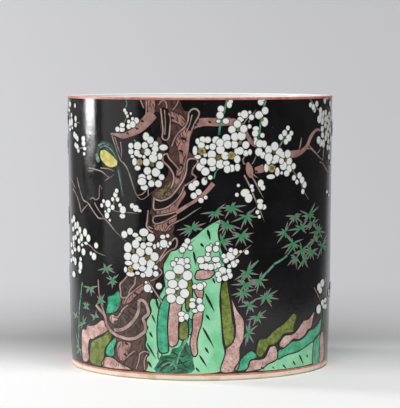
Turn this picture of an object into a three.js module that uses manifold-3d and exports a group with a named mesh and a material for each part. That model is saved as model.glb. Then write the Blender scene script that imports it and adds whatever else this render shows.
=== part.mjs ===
// A straight-sided porcelain brush vase, thrown and turned, white inside and black outside,
// with a prunus tree, bamboo, garden rocks and a bird in raised overglaze enamels.
// Millimetres, +Z up. The origin is the middle of the foot, on the surface that the vase stands on.
// The picture is placed by arc and height: arc 0 is the middle of the front (-Y), and grows to the viewer's right.
import * as THREE from "three";
import { mergeVertices } from "three/addons/utils/BufferGeometryUtils.js";
import Module from "manifold-3d";

const wasm = await Module();
wasm.setup();

// Driving sizes of the pot
const HEIGHT = 183;
const MOUTH_RADIUS = 90;
const FOOT_RADIUS = 87.2;
const WAIST_RADIUS = 89.2;
const WAIST_HEIGHT = 95;
const WALL_THICKNESS = 7;
const LIP_ROUNDING = 2.2;
const FLOOR_THICKNESS = 8;
const FOOT_RING_HEIGHT = 3.4;
const FOOT_RING_WIDTH = 18;
const FOOT_CHAMFER = 0.8;

// Driving sizes of what is laid on the clay
const GLAZE_THICKNESS = 0.4;
const GROUND_THICKNESS = 0.4;
const LINE_HEIGHT = 1.2;
const ENAMEL_THICKNESS = 0.5;
const ENAMEL_CLEARANCE = 0.05;
const LUTING_CLEARANCE = 0.05;
const SEGMENTS = 48;
const CURVE_STEPS = 3;

// Heights and radii that follow from them
const FLOOR_HEIGHT = FOOT_RING_HEIGHT + FLOOR_THICKNESS;
const LIP_HEIGHT = HEIGHT - GLAZE_THICKNESS;
const GROUND_BOTTOM = FOOT_RING_HEIGHT + LINE_HEIGHT;
const GROUND_TOP = HEIGHT - LIP_ROUNDING - LINE_HEIGHT;

// Outer radius of the finished pot: a straight upper half, drawn in by a smooth curve to the foot.
// Every turned surface bends at the same knots, so that coats lie on the clay all the way round.
const KNOT_HEIGHTS = [];
for (let i = 0; i <= CURVE_STEPS; i++) KNOT_HEIGHTS.push((WAIST_HEIGHT * i) / CURVE_STEPS);
KNOT_HEIGHTS.push(HEIGHT);
function turnedRadius(z) {
  if (z >= WAIST_HEIGHT) {
    const up = (z - WAIST_HEIGHT) / (HEIGHT - WAIST_HEIGHT);
    return WAIST_RADIUS + (MOUTH_RADIUS - WAIST_RADIUS) * up;
  }
  const down = (WAIST_HEIGHT - z) / WAIST_HEIGHT;
  return WAIST_RADIUS - (WAIST_RADIUS - FOOT_RADIUS) * down * down;
}
function outerRadius(z) {
  const above = Math.max(1, KNOT_HEIGHTS.findIndex((knot) => knot >= z));
  const [low, high] = [KNOT_HEIGHTS[above - 1], KNOT_HEIGHTS[above]];
  const share = (z - low) / (high - low);
  return turnedRadius(low) * (1 - share) + turnedRadius(high) * share;
}
const clayRadius = (z) => outerRadius(z) - GROUND_THICKNESS;
const boreRadius = (z) => outerRadius(z) - WALL_THICKNESS;
const liningRadius = (z) => boreRadius(z) - GLAZE_THICKNESS;
const RECESS_RADIUS = FOOT_RADIUS - FOOT_RING_WIDTH;

// The heights at which a turned surface has a ring of points
function heights(from, to) {
  return [from, ...KNOT_HEIGHTS.filter((knot) => knot > from && knot < to), to];
}
const point = (r, z) => new THREE.Vector2(r, z);
const side = (radius, from, to) => heights(from, to).map((z) => point(radius(z), z));

// A turned body: the profile runs up the outside and back down the inside, and closes on itself.
function turned(profile) {
  const geometry = new THREE.LatheGeometry([...profile, profile[0].clone()], SEGMENTS);
  return geometry.rotateX(Math.PI / 2);
}

// A disc: the profile starts and ends on the axis.
function disc(radius, bottom, top) {
  const profile = [point(0, bottom), point(radius, bottom), point(radius, top), point(0, top)];
  return new THREE.LatheGeometry(profile, SEGMENTS).rotateX(Math.PI / 2);
}

// A thin turned ring between two surfaces, such as a coat of glaze or a painted line
function coat(outer, inner, from, to) {
  return turned([...side(outer, from, to), ...side(inner, from, to).reverse()]);
}

// Materials
const material = (color, roughness) => new THREE.MeshStandardMaterial({ color, roughness, metalness: 0 });
const BISCUIT = material("#e6dcc2", 0.6);
const WHITE_GLAZE = material("#f3f3f0", 0.12);
const BLACK_ENAMEL = material("#0c0c0e", 0.1);
const IRON_RED = material("#c4513a", 0.35);
const AUBERGINE = material("#8a6a62", 0.25);
const BARK_PINK = material("#b58d84", 0.25);
const PALE_GREEN = material("#8fdcab", 0.2);
const EMERALD = material("#2fae82", 0.2);
const MOSS = material("#7c8f34", 0.2);
const ROSE = material("#c99d95", 0.3);
const BLOSSOM_WHITE = material("#edf0ec", 0.15);
const BIRD_YELLOW = material("#d9cf5c", 0.2);

const vase = new THREE.Group();
function add(name, geometry, finish) {
  const mesh = new THREE.Mesh(geometry, finish);
  mesh.name = name;
  vase.add(mesh);
}

// The lip is turned round on both edges; its points run from the outer edge over the top to the inner edge.
const LIP_STEPS = 2;
function lip(outer, inner, top) {
  const list = [];
  for (let i = 0; i <= LIP_STEPS; i++) {
    const a = ((Math.PI / 2) * i) / LIP_STEPS;
    list.push(point(outer - LIP_ROUNDING * (1 - Math.cos(a)), top - LIP_ROUNDING * (1 - Math.sin(a))));
  }
  for (let i = LIP_STEPS; i >= 0; i--) {
    const a = ((Math.PI / 2) * i) / LIP_STEPS;
    list.push(point(inner + LIP_ROUNDING * (1 - Math.cos(a)), top - LIP_ROUNDING * (1 - Math.sin(a))));
  }
  return list;
}

// The pot itself
const LIP_SPRING = LIP_HEIGHT - LIP_ROUNDING;
const LIP_OUTER = clayRadius(LIP_SPRING);
const LIP_INNER = boreRadius(LIP_SPRING);
const clayOutside = side(clayRadius, FOOT_RING_HEIGHT, LIP_SPRING);
const clayInside = side(boreRadius, FOOT_RING_HEIGHT, LIP_SPRING).reverse();
add(
  "wall",
  turned([...clayOutside.slice(0, -1), ...lip(LIP_OUTER, LIP_INNER, LIP_HEIGHT), ...clayInside.slice(1)]),
  WHITE_GLAZE,
);

const SLAB_RADIUS = boreRadius(FOOT_RING_HEIGHT) - LUTING_CLEARANCE;
add("base_slab", disc(SLAB_RADIUS, FOOT_RING_HEIGHT, FLOOR_HEIGHT - GLAZE_THICKNESS), BISCUIT);

add(
  "foot_ring",
  turned([
    point(RECESS_RADIUS + FOOT_CHAMFER, 0),
    point(FOOT_RADIUS - FOOT_CHAMFER, 0),
    point(outerRadius(FOOT_CHAMFER), FOOT_CHAMFER),
    point(outerRadius(FOOT_RING_HEIGHT), FOOT_RING_HEIGHT),
    point(RECESS_RADIUS, FOOT_RING_HEIGHT),
    point(RECESS_RADIUS, FOOT_CHAMFER),
  ]),
  BISCUIT,
);
const RECESS_GLAZE_RADIUS = RECESS_RADIUS - LUTING_CLEARANCE;
add("recess_glaze", disc(RECESS_GLAZE_RADIUS, FOOT_RING_HEIGHT - GLAZE_THICKNESS, FOOT_RING_HEIGHT), WHITE_GLAZE);

// White glaze inside the pot: the wall's lining runs up to the lip, and the floor has its own pool.
add(
  "lining_glaze",
  coat((z) => boreRadius(z) - ENAMEL_CLEARANCE, liningRadius, FLOOR_HEIGHT, LIP_SPRING),
  WHITE_GLAZE,
);
const FLOOR_GLAZE_RADIUS = liningRadius(FOOT_RING_HEIGHT) - LUTING_CLEARANCE;
add("floor_glaze", disc(FLOOR_GLAZE_RADIUS, FLOOR_HEIGHT - GLAZE_THICKNESS, FLOOR_HEIGHT), WHITE_GLAZE);

// The lip's own glaze, a thin cap that follows the rounding
add(
  "lip_glaze",
  turned([
    ...lip(LIP_OUTER + GLAZE_THICKNESS, LIP_INNER - GLAZE_THICKNESS, HEIGHT),
    ...lip(LIP_OUTER + ENAMEL_CLEARANCE, LIP_INNER - ENAMEL_CLEARANCE, LIP_HEIGHT + ENAMEL_CLEARANCE).reverse(),
  ]),
  WHITE_GLAZE,
);

// The black ground and the iron-red lines above and below it
const groundInside = (z) => clayRadius(z) + ENAMEL_CLEARANCE;
add("black_ground", coat(outerRadius, groundInside, GROUND_BOTTOM, GROUND_TOP), BLACK_ENAMEL);
add("mouth_line", coat(outerRadius, groundInside, GROUND_TOP, LIP_SPRING), IRON_RED);
add("foot_line", coat(outerRadius, groundInside, FOOT_RING_HEIGHT, GROUND_BOTTOM), IRON_RED);

// A raised enamel is a patch of a thin shell just outside the ground.
function solidOf(geometry) {
  const bare = new THREE.BufferGeometry();
  bare.setAttribute("position", geometry.getAttribute("position"));
  if (geometry.index) bare.setIndex(geometry.index);
  const merged = mergeVertices(bare, 1e-4);
  return new wasm.Manifold(
    new wasm.Mesh({
      numProp: 3,
      vertProperties: new Float32Array(merged.attributes.position.array),
      triVerts: new Uint32Array(merged.index.array),
    }),
  );
}
function geometryOf(solid) {
  const mesh = solid.getMesh();
  const geometry = new THREE.BufferGeometry();
  geometry.setAttribute("position", new THREE.BufferAttribute(new Float32Array(mesh.vertProperties), 3));
  geometry.setIndex(new THREE.BufferAttribute(new Uint32Array(mesh.triVerts), 1));
  return geometry;
}
const enamelInside = (z) => outerRadius(z) + ENAMEL_CLEARANCE;
const enamelOutside = (z) => outerRadius(z) + ENAMEL_CLEARANCE + ENAMEL_THICKNESS;
const ENAMEL_SHELL = solidOf(coat(enamelOutside, enamelInside, GROUND_BOTTOM, GROUND_TOP));

// The picture was drawn for a pot of this height, and stretches with the pot
const PICTURE_HEIGHT = 183;

// A wedge through the wall whose outline is a drawn shape, from well inside the pot to well outside it
const WEDGE_INSIDE = 0.5;
const WEDGE_OUTSIDE = 1.6;
function wedge(outline) {
  const shape = outline.map(([arc, height]) => new THREE.Vector2(arc, height));
  if (THREE.ShapeUtils.isClockWise(shape)) shape.reverse();
  const count = shape.length;
  const positions = [];
  for (const share of [WEDGE_OUTSIDE, WEDGE_INSIDE]) {
    for (const { x, y } of shape) {
      const angle = x / MOUTH_RADIUS;
      const r = MOUTH_RADIUS * share;
      positions.push(r * Math.sin(angle), -r * Math.cos(angle), y * (HEIGHT / PICTURE_HEIGHT));
    }
  }
  const faces = [];
  for (const [a, b, c] of THREE.ShapeUtils.triangulateShape(shape, [])) {
    faces.push(a, b, c, a + count, c + count, b + count);
  }
  for (let i = 0; i < count; i++) {
    const next = (i + 1) % count;
    faces.push(i, i + count, next + count, i, next + count, next);
  }
  const geometry = new THREE.BufferGeometry();
  geometry.setAttribute("position", new THREE.Float32BufferAttribute(positions, 3));
  geometry.setIndex(faces);
  return solidOf(geometry);
}

// The largest connected body of a solid
function largest(solid) {
  return solid.decompose().sort((a, b) => b.volume() - a.volume())[0];
}
const laid = [];
const joined = (outlines) => outlines.map(wedge).reduce((a, b) => a.add(b));
function enamel(name, outlines, finish) {
  const drawn = laid.reduce((rest, other) => rest.subtract(other), joined(outlines));
  add(name, geometryOf(largest(drawn.intersect(ENAMEL_SHELL))), finish);
  laid.push(joined(outlines.map(grown)));
}

// An outline moved outwards by the gap that is left round a shape, where the next enamel stops
const ENAMEL_GAP = 0.4;
function grown(outline) {
  const shape = outline.map(([arc, height]) => new THREE.Vector2(arc, height));
  if (THREE.ShapeUtils.isClockWise(shape)) shape.reverse();
  return shape.map((p, i) => {
    const before = shape[(i + shape.length - 1) % shape.length];
    const after = shape[(i + 1) % shape.length];
    const way = new THREE.Vector2().subVectors(after, before).normalize();
    return [p.x + way.y * ENAMEL_GAP, p.y - way.x * ENAMEL_GAP];
  });
}

// A five-petalled blossom as one outline, scalloped by a cosine
const PETALS = 5;
const STEPS_PER_PETAL = 2;
function blossom([arc, height, radius], index) {
  const outline = [];
  for (let i = 0; i < PETALS * STEPS_PER_PETAL; i++) {
    const a = (2 * Math.PI * i) / (PETALS * STEPS_PER_PETAL) + index;
    const r = radius * (0.86 + 0.14 * Math.cos(PETALS * (a - index)));
    outline.push([arc + r * Math.cos(a), height + r * Math.sin(a)]);
  }
  return outline;
}

// A branch as a strip that narrows from its root to its tip
function branch(points, rootWidth, tipWidth) {
  const left = [];
  const right = [];
  points.forEach(([arc, height], i) => {
    const before = points[Math.max(i - 1, 0)];
    const after = points[Math.min(i + 1, points.length - 1)];
    const way = new THREE.Vector2(after[0] - before[0], after[1] - before[1]).normalize();
    const half = (rootWidth + ((tipWidth - rootWidth) * i) / (points.length - 1)) / 2;
    left.push([arc - way.y * half, height + way.x * half]);
    right.unshift([arc + way.y * half, height - way.x * half]);
  });
  return [...left, ...right];
}

// Clusters of blossoms: arc, height and radius of each flower
const CLUSTERS = {
  upper_left: [[-36, 150, 9], [-29, 141, 9], [-34, 133, 8], [-42, 145, 6]],
  upper_middle: [[1, 147, 9], [12, 147, 10], [21, 144, 9], [24, 158, 9], [4, 136, 8]],
  upper_right: [[50, 148, 8], [58, 143, 8], [48, 138, 8], [64, 138, 6], [41, 150, 6]],
  trunk_left: [[-48, 88, 8], [-38, 92, 8], [-45, 76, 9], [-35, 80, 8], [-38, 70, 7]],
  rock_front: [[-16, 70, 8], [-17, 60, 8], [-11, 78, 6]],
  left_edge: [[-108, 92, 10], [-104, 82, 9], [-114, 84, 9], [-94, 90, 8]],
  right_edge: [[107, 170, 10], [113, 160, 9], [104, 156, 9], [116, 148, 8]],
  back_left: [[-168, 140, 10], [-158, 132, 9], [-176, 130, 9], [-165, 122, 8]],
  back_middle: [[-222, 104, 10], [-212, 98, 9], [-232, 96, 9], [-220, 90, 8]],
  back_right: [[210, 146, 10], [200, 140, 9], [220, 138, 9], [208, 132, 8]],
};
for (const [name, flowers] of Object.entries(CLUSTERS)) {
  enamel("blossoms_" + name, flowers.map(blossom), BLOSSOM_WHITE);
}

// The bird on the left bough
enamel("bird_breast", [[[-73, 148], [-67, 149], [-60, 143], [-60, 138], [-66, 137], [-72, 141]]], BIRD_YELLOW);

// The trunk leaves the ground among the rocks, twists to the right and goes out at the mouth.
const TRUNK_UPPER = [
  [-37, 182], [-32, 172], [-27, 172], [-25, 160], [-20, 152], [-21, 143], [-21, 133], [-31, 122], [-32, 112],
  [-36, 102], [-28, 94], [-18, 96], [-16, 108], [-13, 120], [-6, 132], [-2, 143], [-8, 150], [-4, 162],
  [-2, 173], [-8, 174], [-14, 176], [-14, 182],
];
const TRUNK_LOWER = [
  [-28, 96], [-36, 84], [-46, 68], [-57, 62], [-56, 52], [-66, 43], [-71, 38], [-66, 30], [-60, 24], [-62, 6],
  [-37, 6], [-38, 22], [-36, 36], [-34, 50], [-29, 66], [-18, 86], [-18, 96],
];
enamel("trunk", [TRUNK_UPPER, TRUNK_LOWER], AUBERGINE);
enamel("bough_left", [branch([[-31, 170], [-38, 163], [-48, 159], [-60, 158], [-56, 142], [-48, 126]], 8, 2)], BARK_PINK);
enamel("bough_right", [branch([[-3, 168], [8, 167], [20, 169], [28, 165], [36, 152], [44, 140]], 6, 3)], BARK_PINK);
enamel("bough_far_right", [branch([[62, 145], [76, 146], [84, 156], [94, 161]], 5, 2)], BARK_PINK);
enamel("bough_low", [branch([[-18, 108], [-6, 115], [7, 127]], 4, 3)], BARK_PINK);
enamel("bough_back", [branch([[-250, 60], [-236, 84], [-210, 108], [-186, 126], [-150, 146]], 8, 3)], BARK_PINK);
enamel("bough_back_right", [branch([[262, 90], [244, 112], [222, 128], [190, 150], [160, 158]], 8, 3)], BARK_PINK);

// Garden rocks round the foot: each colour of each rock is one outline.
const ROCKS = [
  ["rock_tall_moss", MOSS, [[13, 62], [18, 63], [20, 50], [23, 34], [18, 22], [14, 30], [12, 46]]],
  ["rock_tall_rose", ROSE, [[18, 63], [22, 52], [28, 38], [29, 28], [26, 6], [14, 6], [18, 20], [24, 34]]],
  ["rock_tall_emerald", EMERALD, [[-22, 55], [-20, 50], [-24, 34], [-22, 19], [-28, 18], [-30, 34], [-27, 50]]],
  ["rock_inner_rose", ROSE, [[-19, 52], [-12, 52], [-14, 38], [-16, 24], [-22, 22], [-23, 36]]],
  ["rock_tall_pale", PALE_GREEN, [
    [11, 102], [-2, 94], [-20, 82], [-24, 72], [-30, 52], [-35, 44], [-37, 30], [-35, 6], [14, 6], [18, 20],
    [12, 40], [13, 62], [16, 76],
  ]],
  ["rock_left_rose", ROSE, [[-99, 6], [-99, 26], [-88, 32], [-72, 36], [-68, 32], [-88, 22], [-90, 6]]],
  ["rock_left_moss", MOSS, [[-89, 6], [-87, 22], [-66, 32], [-61, 26], [-64, 6]]],
  ["rock_right_moss", MOSS, [[38, 15], [42, 22], [54, 32], [70, 40], [68, 30], [54, 22], [42, 14]]],
  ["rock_right_rose", ROSE, [[38, 6], [42, 13], [54, 21], [68, 29], [92, 39], [84, 28], [58, 18], [52, 6]]],
  ["rock_right_emerald", EMERALD, [[53, 8], [59, 17], [85, 27], [104, 34], [100, 20], [78, 14]]],
  ["rock_right_pale", PALE_GREEN, [[53, 6], [78, 13], [94, 18], [94, 6]]],
  ["rock_back_pale", PALE_GREEN, [[150, 6], [156, 30], [170, 54], [180, 40], [192, 28], [200, 6]]],
  ["rock_back_emerald", EMERALD, [[201, 6], [194, 28], [206, 40], [220, 26], [226, 6]]],
  ["rock_back_rose", ROSE, [[-150, 6], [-156, 22], [-172, 34], [-190, 24], [-196, 6]]],
  ["rock_back_moss", MOSS, [[-197, 6], [-192, 24], [-206, 34], [-222, 20], [-226, 6]]],
];
for (const [name, finish, outline] of ROCKS) enamel(name, [outline], finish);

export default vase;
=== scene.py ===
import math
import random

import bmesh
import bpy
from mathutils import Matrix, Vector


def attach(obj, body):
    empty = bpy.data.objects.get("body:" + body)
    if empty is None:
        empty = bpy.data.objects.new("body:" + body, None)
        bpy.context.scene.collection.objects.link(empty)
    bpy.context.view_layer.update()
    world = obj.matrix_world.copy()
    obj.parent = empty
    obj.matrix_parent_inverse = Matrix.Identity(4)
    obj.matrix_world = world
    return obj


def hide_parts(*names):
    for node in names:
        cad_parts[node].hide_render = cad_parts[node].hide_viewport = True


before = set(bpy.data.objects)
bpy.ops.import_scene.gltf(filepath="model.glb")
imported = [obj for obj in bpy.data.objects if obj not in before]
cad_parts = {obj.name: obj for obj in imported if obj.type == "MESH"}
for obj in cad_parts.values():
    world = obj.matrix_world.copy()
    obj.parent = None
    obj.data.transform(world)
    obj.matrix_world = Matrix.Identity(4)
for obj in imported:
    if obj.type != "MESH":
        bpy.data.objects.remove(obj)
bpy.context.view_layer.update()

bl_info = {
    "name": "Brush vase with a prunus tree",
    "version": (1, 0, 0),
    "blender": (4, 5, 0),
    "location": "View3D > Sidebar > Vase",
    "description": "Builds a turned porcelain vase and its raised enamel picture",
    "category": "Add Mesh",
}

MM = 0.001
ARC_RADIUS = 90.0
SHARP_ANGLE = 40

# Steps of the turned pieces and the discs, and lengths in millimetres between points of the drawn ones
TURNED_STEPS = 192
SIDE_STEPS = 14
MOUTH_LINE_STEPS = 3
LIP_STEPS = 6
DISC_STEPS = 16
CURVE_STEP = 1.6
PATCH_STEP = 2.2
TILE_STEP = 3.0

# Millimetres that a piece stops short of what carries it, that the picture keeps from the red lines,
# and that an enamel reaches down into the ground
GAP = 0.05
EDGE_KEEP = 0.1
SKIRT = 0.2

# The red line over the lip: how far it stands off the glaze, and where its hidden back ends
MOUTH_LINE_COAT = 0.03
MOUTH_LINE_IN = 0.2
MOUTH_LINE_DOWN = 0.3

# How far each layer of the picture stands off the ground, in millimetres
LIFT_WASH = 0.06
LIFT_DETAIL = 0.11
LIFT_LINE = 0.17
LIFT_LEAF = 0.20
LIFT_TWIG = 0.24
LIFT_PETAL = 0.27
LIFT_MIDDLE = 0.50
LIFT_STAMEN = 0.58

# Small rises that keep neighbours in one layer apart
BARK_RISE = 0.015
FOLD_RISE = 0.02
BRUSH_RISE = 0.025
OUTLINE_RISE = 0.03
BORDER_RISE = 0.04
BOUGH_RISE = 0.04
LEAF_RISE = 0.012
LEAF_LEVELS = 3
SHORT_LEAF_RISE = 0.006
BLADE_RIDGE = 0.03
PETAL_STEP = 0.035
PETAL_LEVELS = 5
PETAL_COAT = 0.018
DISC_DOME = 0.05
MIDDLE_DOME = 0.06

# Widths of the brush lines, in millimetres
ROCK_OUTLINE = 0.85
FACE_OUTLINE = 0.6
BUSH_LINE = 0.8
QUILL_LINE = 0.7
HATCH_LINE = 0.55
BRUSH_WIDTH = 0.55
EDGE_BORDER = 1.0
TICK_WIDTH = 1.5
LEAF_WIDTH = 1.3
STAMEN_WIDTH = 0.45

# Shares of a drawn width or radius
TAPER_END = 0.08
TWIG_SHARE = 0.8
PETAL_FULLNESS = 1.07
MIDDLE_SHARES = (0.85, 0.8, 0.8)
HEART_SHARE = 0.4
STAMEN_REACH = 1.15
STAMENS = 7
# How far the dark rim shows round a petal, in millimetres
PETAL_RIM = 0.4


def srgb(text):
    """A colour written as an sRGB hex string, as linear red, green, blue and alpha."""
    parts = [int(text[i : i + 2], 16) / 255 for i in (0, 2, 4)]
    linear = [c / 12.92 if c <= 0.04045 else ((c + 0.055) / 1.055) ** 2.4 for c in parts]
    return (*linear, 1.0)


def length(name, description, default):
    """A length in metres that the panel can show."""
    return bpy.props.FloatProperty(
        name=name, description=description, default=default, min=0.0, unit="LENGTH", subtype="DISTANCE"
    )


def colour(name, description, text):
    """A colour that the panel can show, from an sRGB hex string."""
    return bpy.props.FloatVectorProperty(
        name=name,
        description=description,
        default=srgb(text),
        size=4,
        min=0.0,
        max=1.0,
        subtype="COLOR",
    )


class VaseSizes(bpy.types.PropertyGroup):
    """Sizes of the turned pot and of the coats on it"""

    height: length("Height", "Foot to lip", 0.183)
    mouth_radius: length("Mouth radius", "Outside, at the lip", 0.090)
    waist_radius: length("Waist radius", "Outside, where the wall starts to draw in", 0.0892)
    waist_height: length("Waist height", "Where the wall starts to draw in", 0.095)
    foot_radius: length("Foot radius", "Outside, at the foot", 0.0872)
    wall: length("Wall", "Thickness of the wall", 0.007)
    lip_rounding: length("Lip rounding", "Radius on both edges of the lip", 0.0008)
    floor: length("Floor", "Thickness of the base", 0.008)
    ring_height: length("Foot ring height", "Depth of the recess under the base", 0.0034)
    ring_width: length("Foot ring width", "Width of the bare ring that it stands on", 0.018)
    chamfer: length("Foot chamfer", "Turned edge of the foot ring", 0.0013)
    glaze: length("Glaze", "Thickness of a coat", 0.0004)
    line: length("Foot line", "Height of the iron-red line at the foot", 0.0012)
    mouth_line: length("Mouth line", "Height of the iron-red line below the rounding of the lip", 0.0004)


class VaseColours(bpy.types.PropertyGroup):
    """Colours of the clay, the glaze and the enamels"""

    biscuit: colour("Biscuit", "Bare fired clay", "f0e2ca")
    glaze: colour("White glaze", "Inside and lip", "fafaf8")
    ground: colour("Black ground", "Black enamel of the ground", "08080a")
    iron_red: colour("Iron red", "Lines at lip and foot", "c4604a")
    aubergine: colour("Aubergine", "Dark bark", "584039")
    bark_pink: colour("Bark pink", "Pale bark and boughs", "a98078")
    pale_green: colour("Pale green", "Tall rock", "86d6a2")
    emerald: colour("Emerald", "Emerald rock bands", "27ac7d")
    moss: colour("Moss", "Olive rock bands", "6c7d28")
    rose: colour("Rose", "Rose rock bands", "d0a79d")
    white: colour("Blossom white", "Petals and buds", "f4f6f2")
    yellow: colour("Yellow", "The bird's breast", "d8cf66")
    line: colour("Drawing line", "Dark drawing under the enamels", "15100f")
    grey_leaf: colour("Leaf edge", "Thin pinkish grey enamel at leaf tips", "8d8381")


class Wall:
    """The turned outside of the pot, in millimetres."""

    def __init__(self, sizes):
        self.height = sizes.height / MM
        self.mouth = sizes.mouth_radius / MM
        self.waist = sizes.waist_radius / MM
        self.waist_height = sizes.waist_height / MM
        self.foot = sizes.foot_radius / MM
        self.wall = sizes.wall / MM
        self.glaze = sizes.glaze / MM
        self.rounding = sizes.lip_rounding / MM
        self.ring_height = sizes.ring_height / MM
        self.floor_top = self.ring_height + sizes.floor / MM
        self.recess = self.foot - sizes.ring_width / MM
        self.chamfer = sizes.chamfer / MM
        self.lip_spring = self.height - self.glaze - self.rounding
        self.ground_bottom = self.ring_height + sizes.line / MM
        self.ground_top = self.lip_spring - sizes.mouth_line / MM

    def radius(self, z):
        """The outside's radius at a height: straight above the waist, drawn in below it."""
        if z >= self.waist_height:
            up = (z - self.waist_height) / (self.height - self.waist_height)
            return self.waist + (self.mouth - self.waist) * up
        down = (self.waist_height - z) / self.waist_height
        return self.waist - (self.waist - self.foot) * down * down

    def place(self, arc, z, lift):
        """A place of the flat picture on the wall, in metres."""
        angle = arc / ARC_RADIUS
        r = self.radius(z) + lift
        return Vector((r * math.sin(angle), -r * math.cos(angle), z)) * MM

    def side(self, inset, low, high, steps=SIDE_STEPS):
        """Points of a turned side that lies inset inside the outside, from low to high."""
        rise = (high - low) / steps
        return [(self.radius(low + rise * i) - inset, low + rise * i) for i in range(steps + 1)]

    def lip(self, outset, inset, top):
        """The rounded lip, from its outer edge over the top to its inner edge."""
        outer = self.radius(self.lip_spring) - outset
        inner = self.radius(self.lip_spring) - inset
        made = []
        for i in range(LIP_STEPS + 1):
            a = math.pi / 2 * i / LIP_STEPS
            drop = self.rounding * (1 - math.sin(a))
            made.append((outer - self.rounding * (1 - math.cos(a)), top - drop))
        for i in range(LIP_STEPS, -1, -1):
            a = math.pi / 2 * i / LIP_STEPS
            drop = self.rounding * (1 - math.sin(a))
            made.append((inner + self.rounding * (1 - math.cos(a)), top - drop))
        return made


def piece(name, points, faces, finish, nodes=(), rims=None):
    """A mesh that rides on the pot, stands for its CAD nodes and wears the finish that it is given."""
    if not faces:
        raise RuntimeError(f"{name} has no faces")
    mesh = bpy.data.meshes.new(name)
    mesh.from_pydata(points, [], faces)
    made = bpy.data.objects.new(name, mesh)
    bpy.context.collection.objects.link(made)
    work = bmesh.new()
    work.from_mesh(mesh)
    bmesh.ops.recalc_face_normals(work, faces=work.faces[:])
    work.to_mesh(mesh)
    work.free()
    mesh.shade_smooth()
    mesh.set_sharp_from_angle(angle=math.radians(SHARP_ANGLE))
    if rims:
        field = mesh.attributes.new("rim", "FLOAT", "POINT")
        field.data.foreach_set("value", rims)
    mesh.materials.append(finish)
    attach(made, "root")
    if nodes:
        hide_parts(*nodes)
    return made


def turned(name, profile, closed, finish, nodes):
    """A turned body from a profile of (radius, height). The profile is a closed ring, or it starts and
    ends on the axis."""
    points, faces, rings = [], [], []
    for r, z in profile:
        if r == 0:
            rings.append([len(points)])
            points.append(Vector((0, 0, z)) * MM)
            continue
        rings.append(range(len(points), len(points) + TURNED_STEPS))
        for i in range(TURNED_STEPS):
            a = 2 * math.pi * i / TURNED_STEPS
            points.append(Vector((r * math.cos(a), r * math.sin(a), z)) * MM)
    pairs = list(zip(rings, rings[1:]))
    if closed:
        pairs.append((rings[-1], rings[0]))
    for low, high in pairs:
        for i in range(TURNED_STEPS):
            j = (i + 1) % TURNED_STEPS
            corners = [low[i % len(low)], low[j % len(low)], high[j % len(high)], high[i % len(high)]]
            faces.append(list(dict.fromkeys(corners)))
    return piece(name, points, faces, finish, nodes)


def plate(radius, low, high):
    """The profile of a flat round plate."""
    return [(0, low), (radius, low), (radius, high), (0, high)]


def between(a, b, c, d, t):
    """A value between b and c, at share t, on a smooth line through a, b, c and d."""
    bend = (2 * a - 5 * b + 4 * c - d) * t * t
    twist = (3 * b - a - 3 * c + d) * t * t * t
    return 0.5 * (2 * b + (c - a) * t + bend + twist)


def curve(path, closed=False, step=CURVE_STEP):
    """A smooth line through drawn points, with a point about every step."""
    count = len(path)
    spans = count if closed else count - 1
    made = []
    for i in range(spans):
        if closed:
            p = [path[(i + k) % count] for k in (-1, 0, 1, 2)]
        else:
            p = [path[min(max(i + k, 0), count - 1)] for k in (-1, 0, 1, 2)]
        steps = max(1, round(math.dist(p[1][:2], p[2][:2]) / step))
        for s in range(steps):
            made.append(tuple(between(*values, s / steps) for values in zip(*p)))
    if not closed:
        made.append(tuple(path[-1]))
    return made


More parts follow.
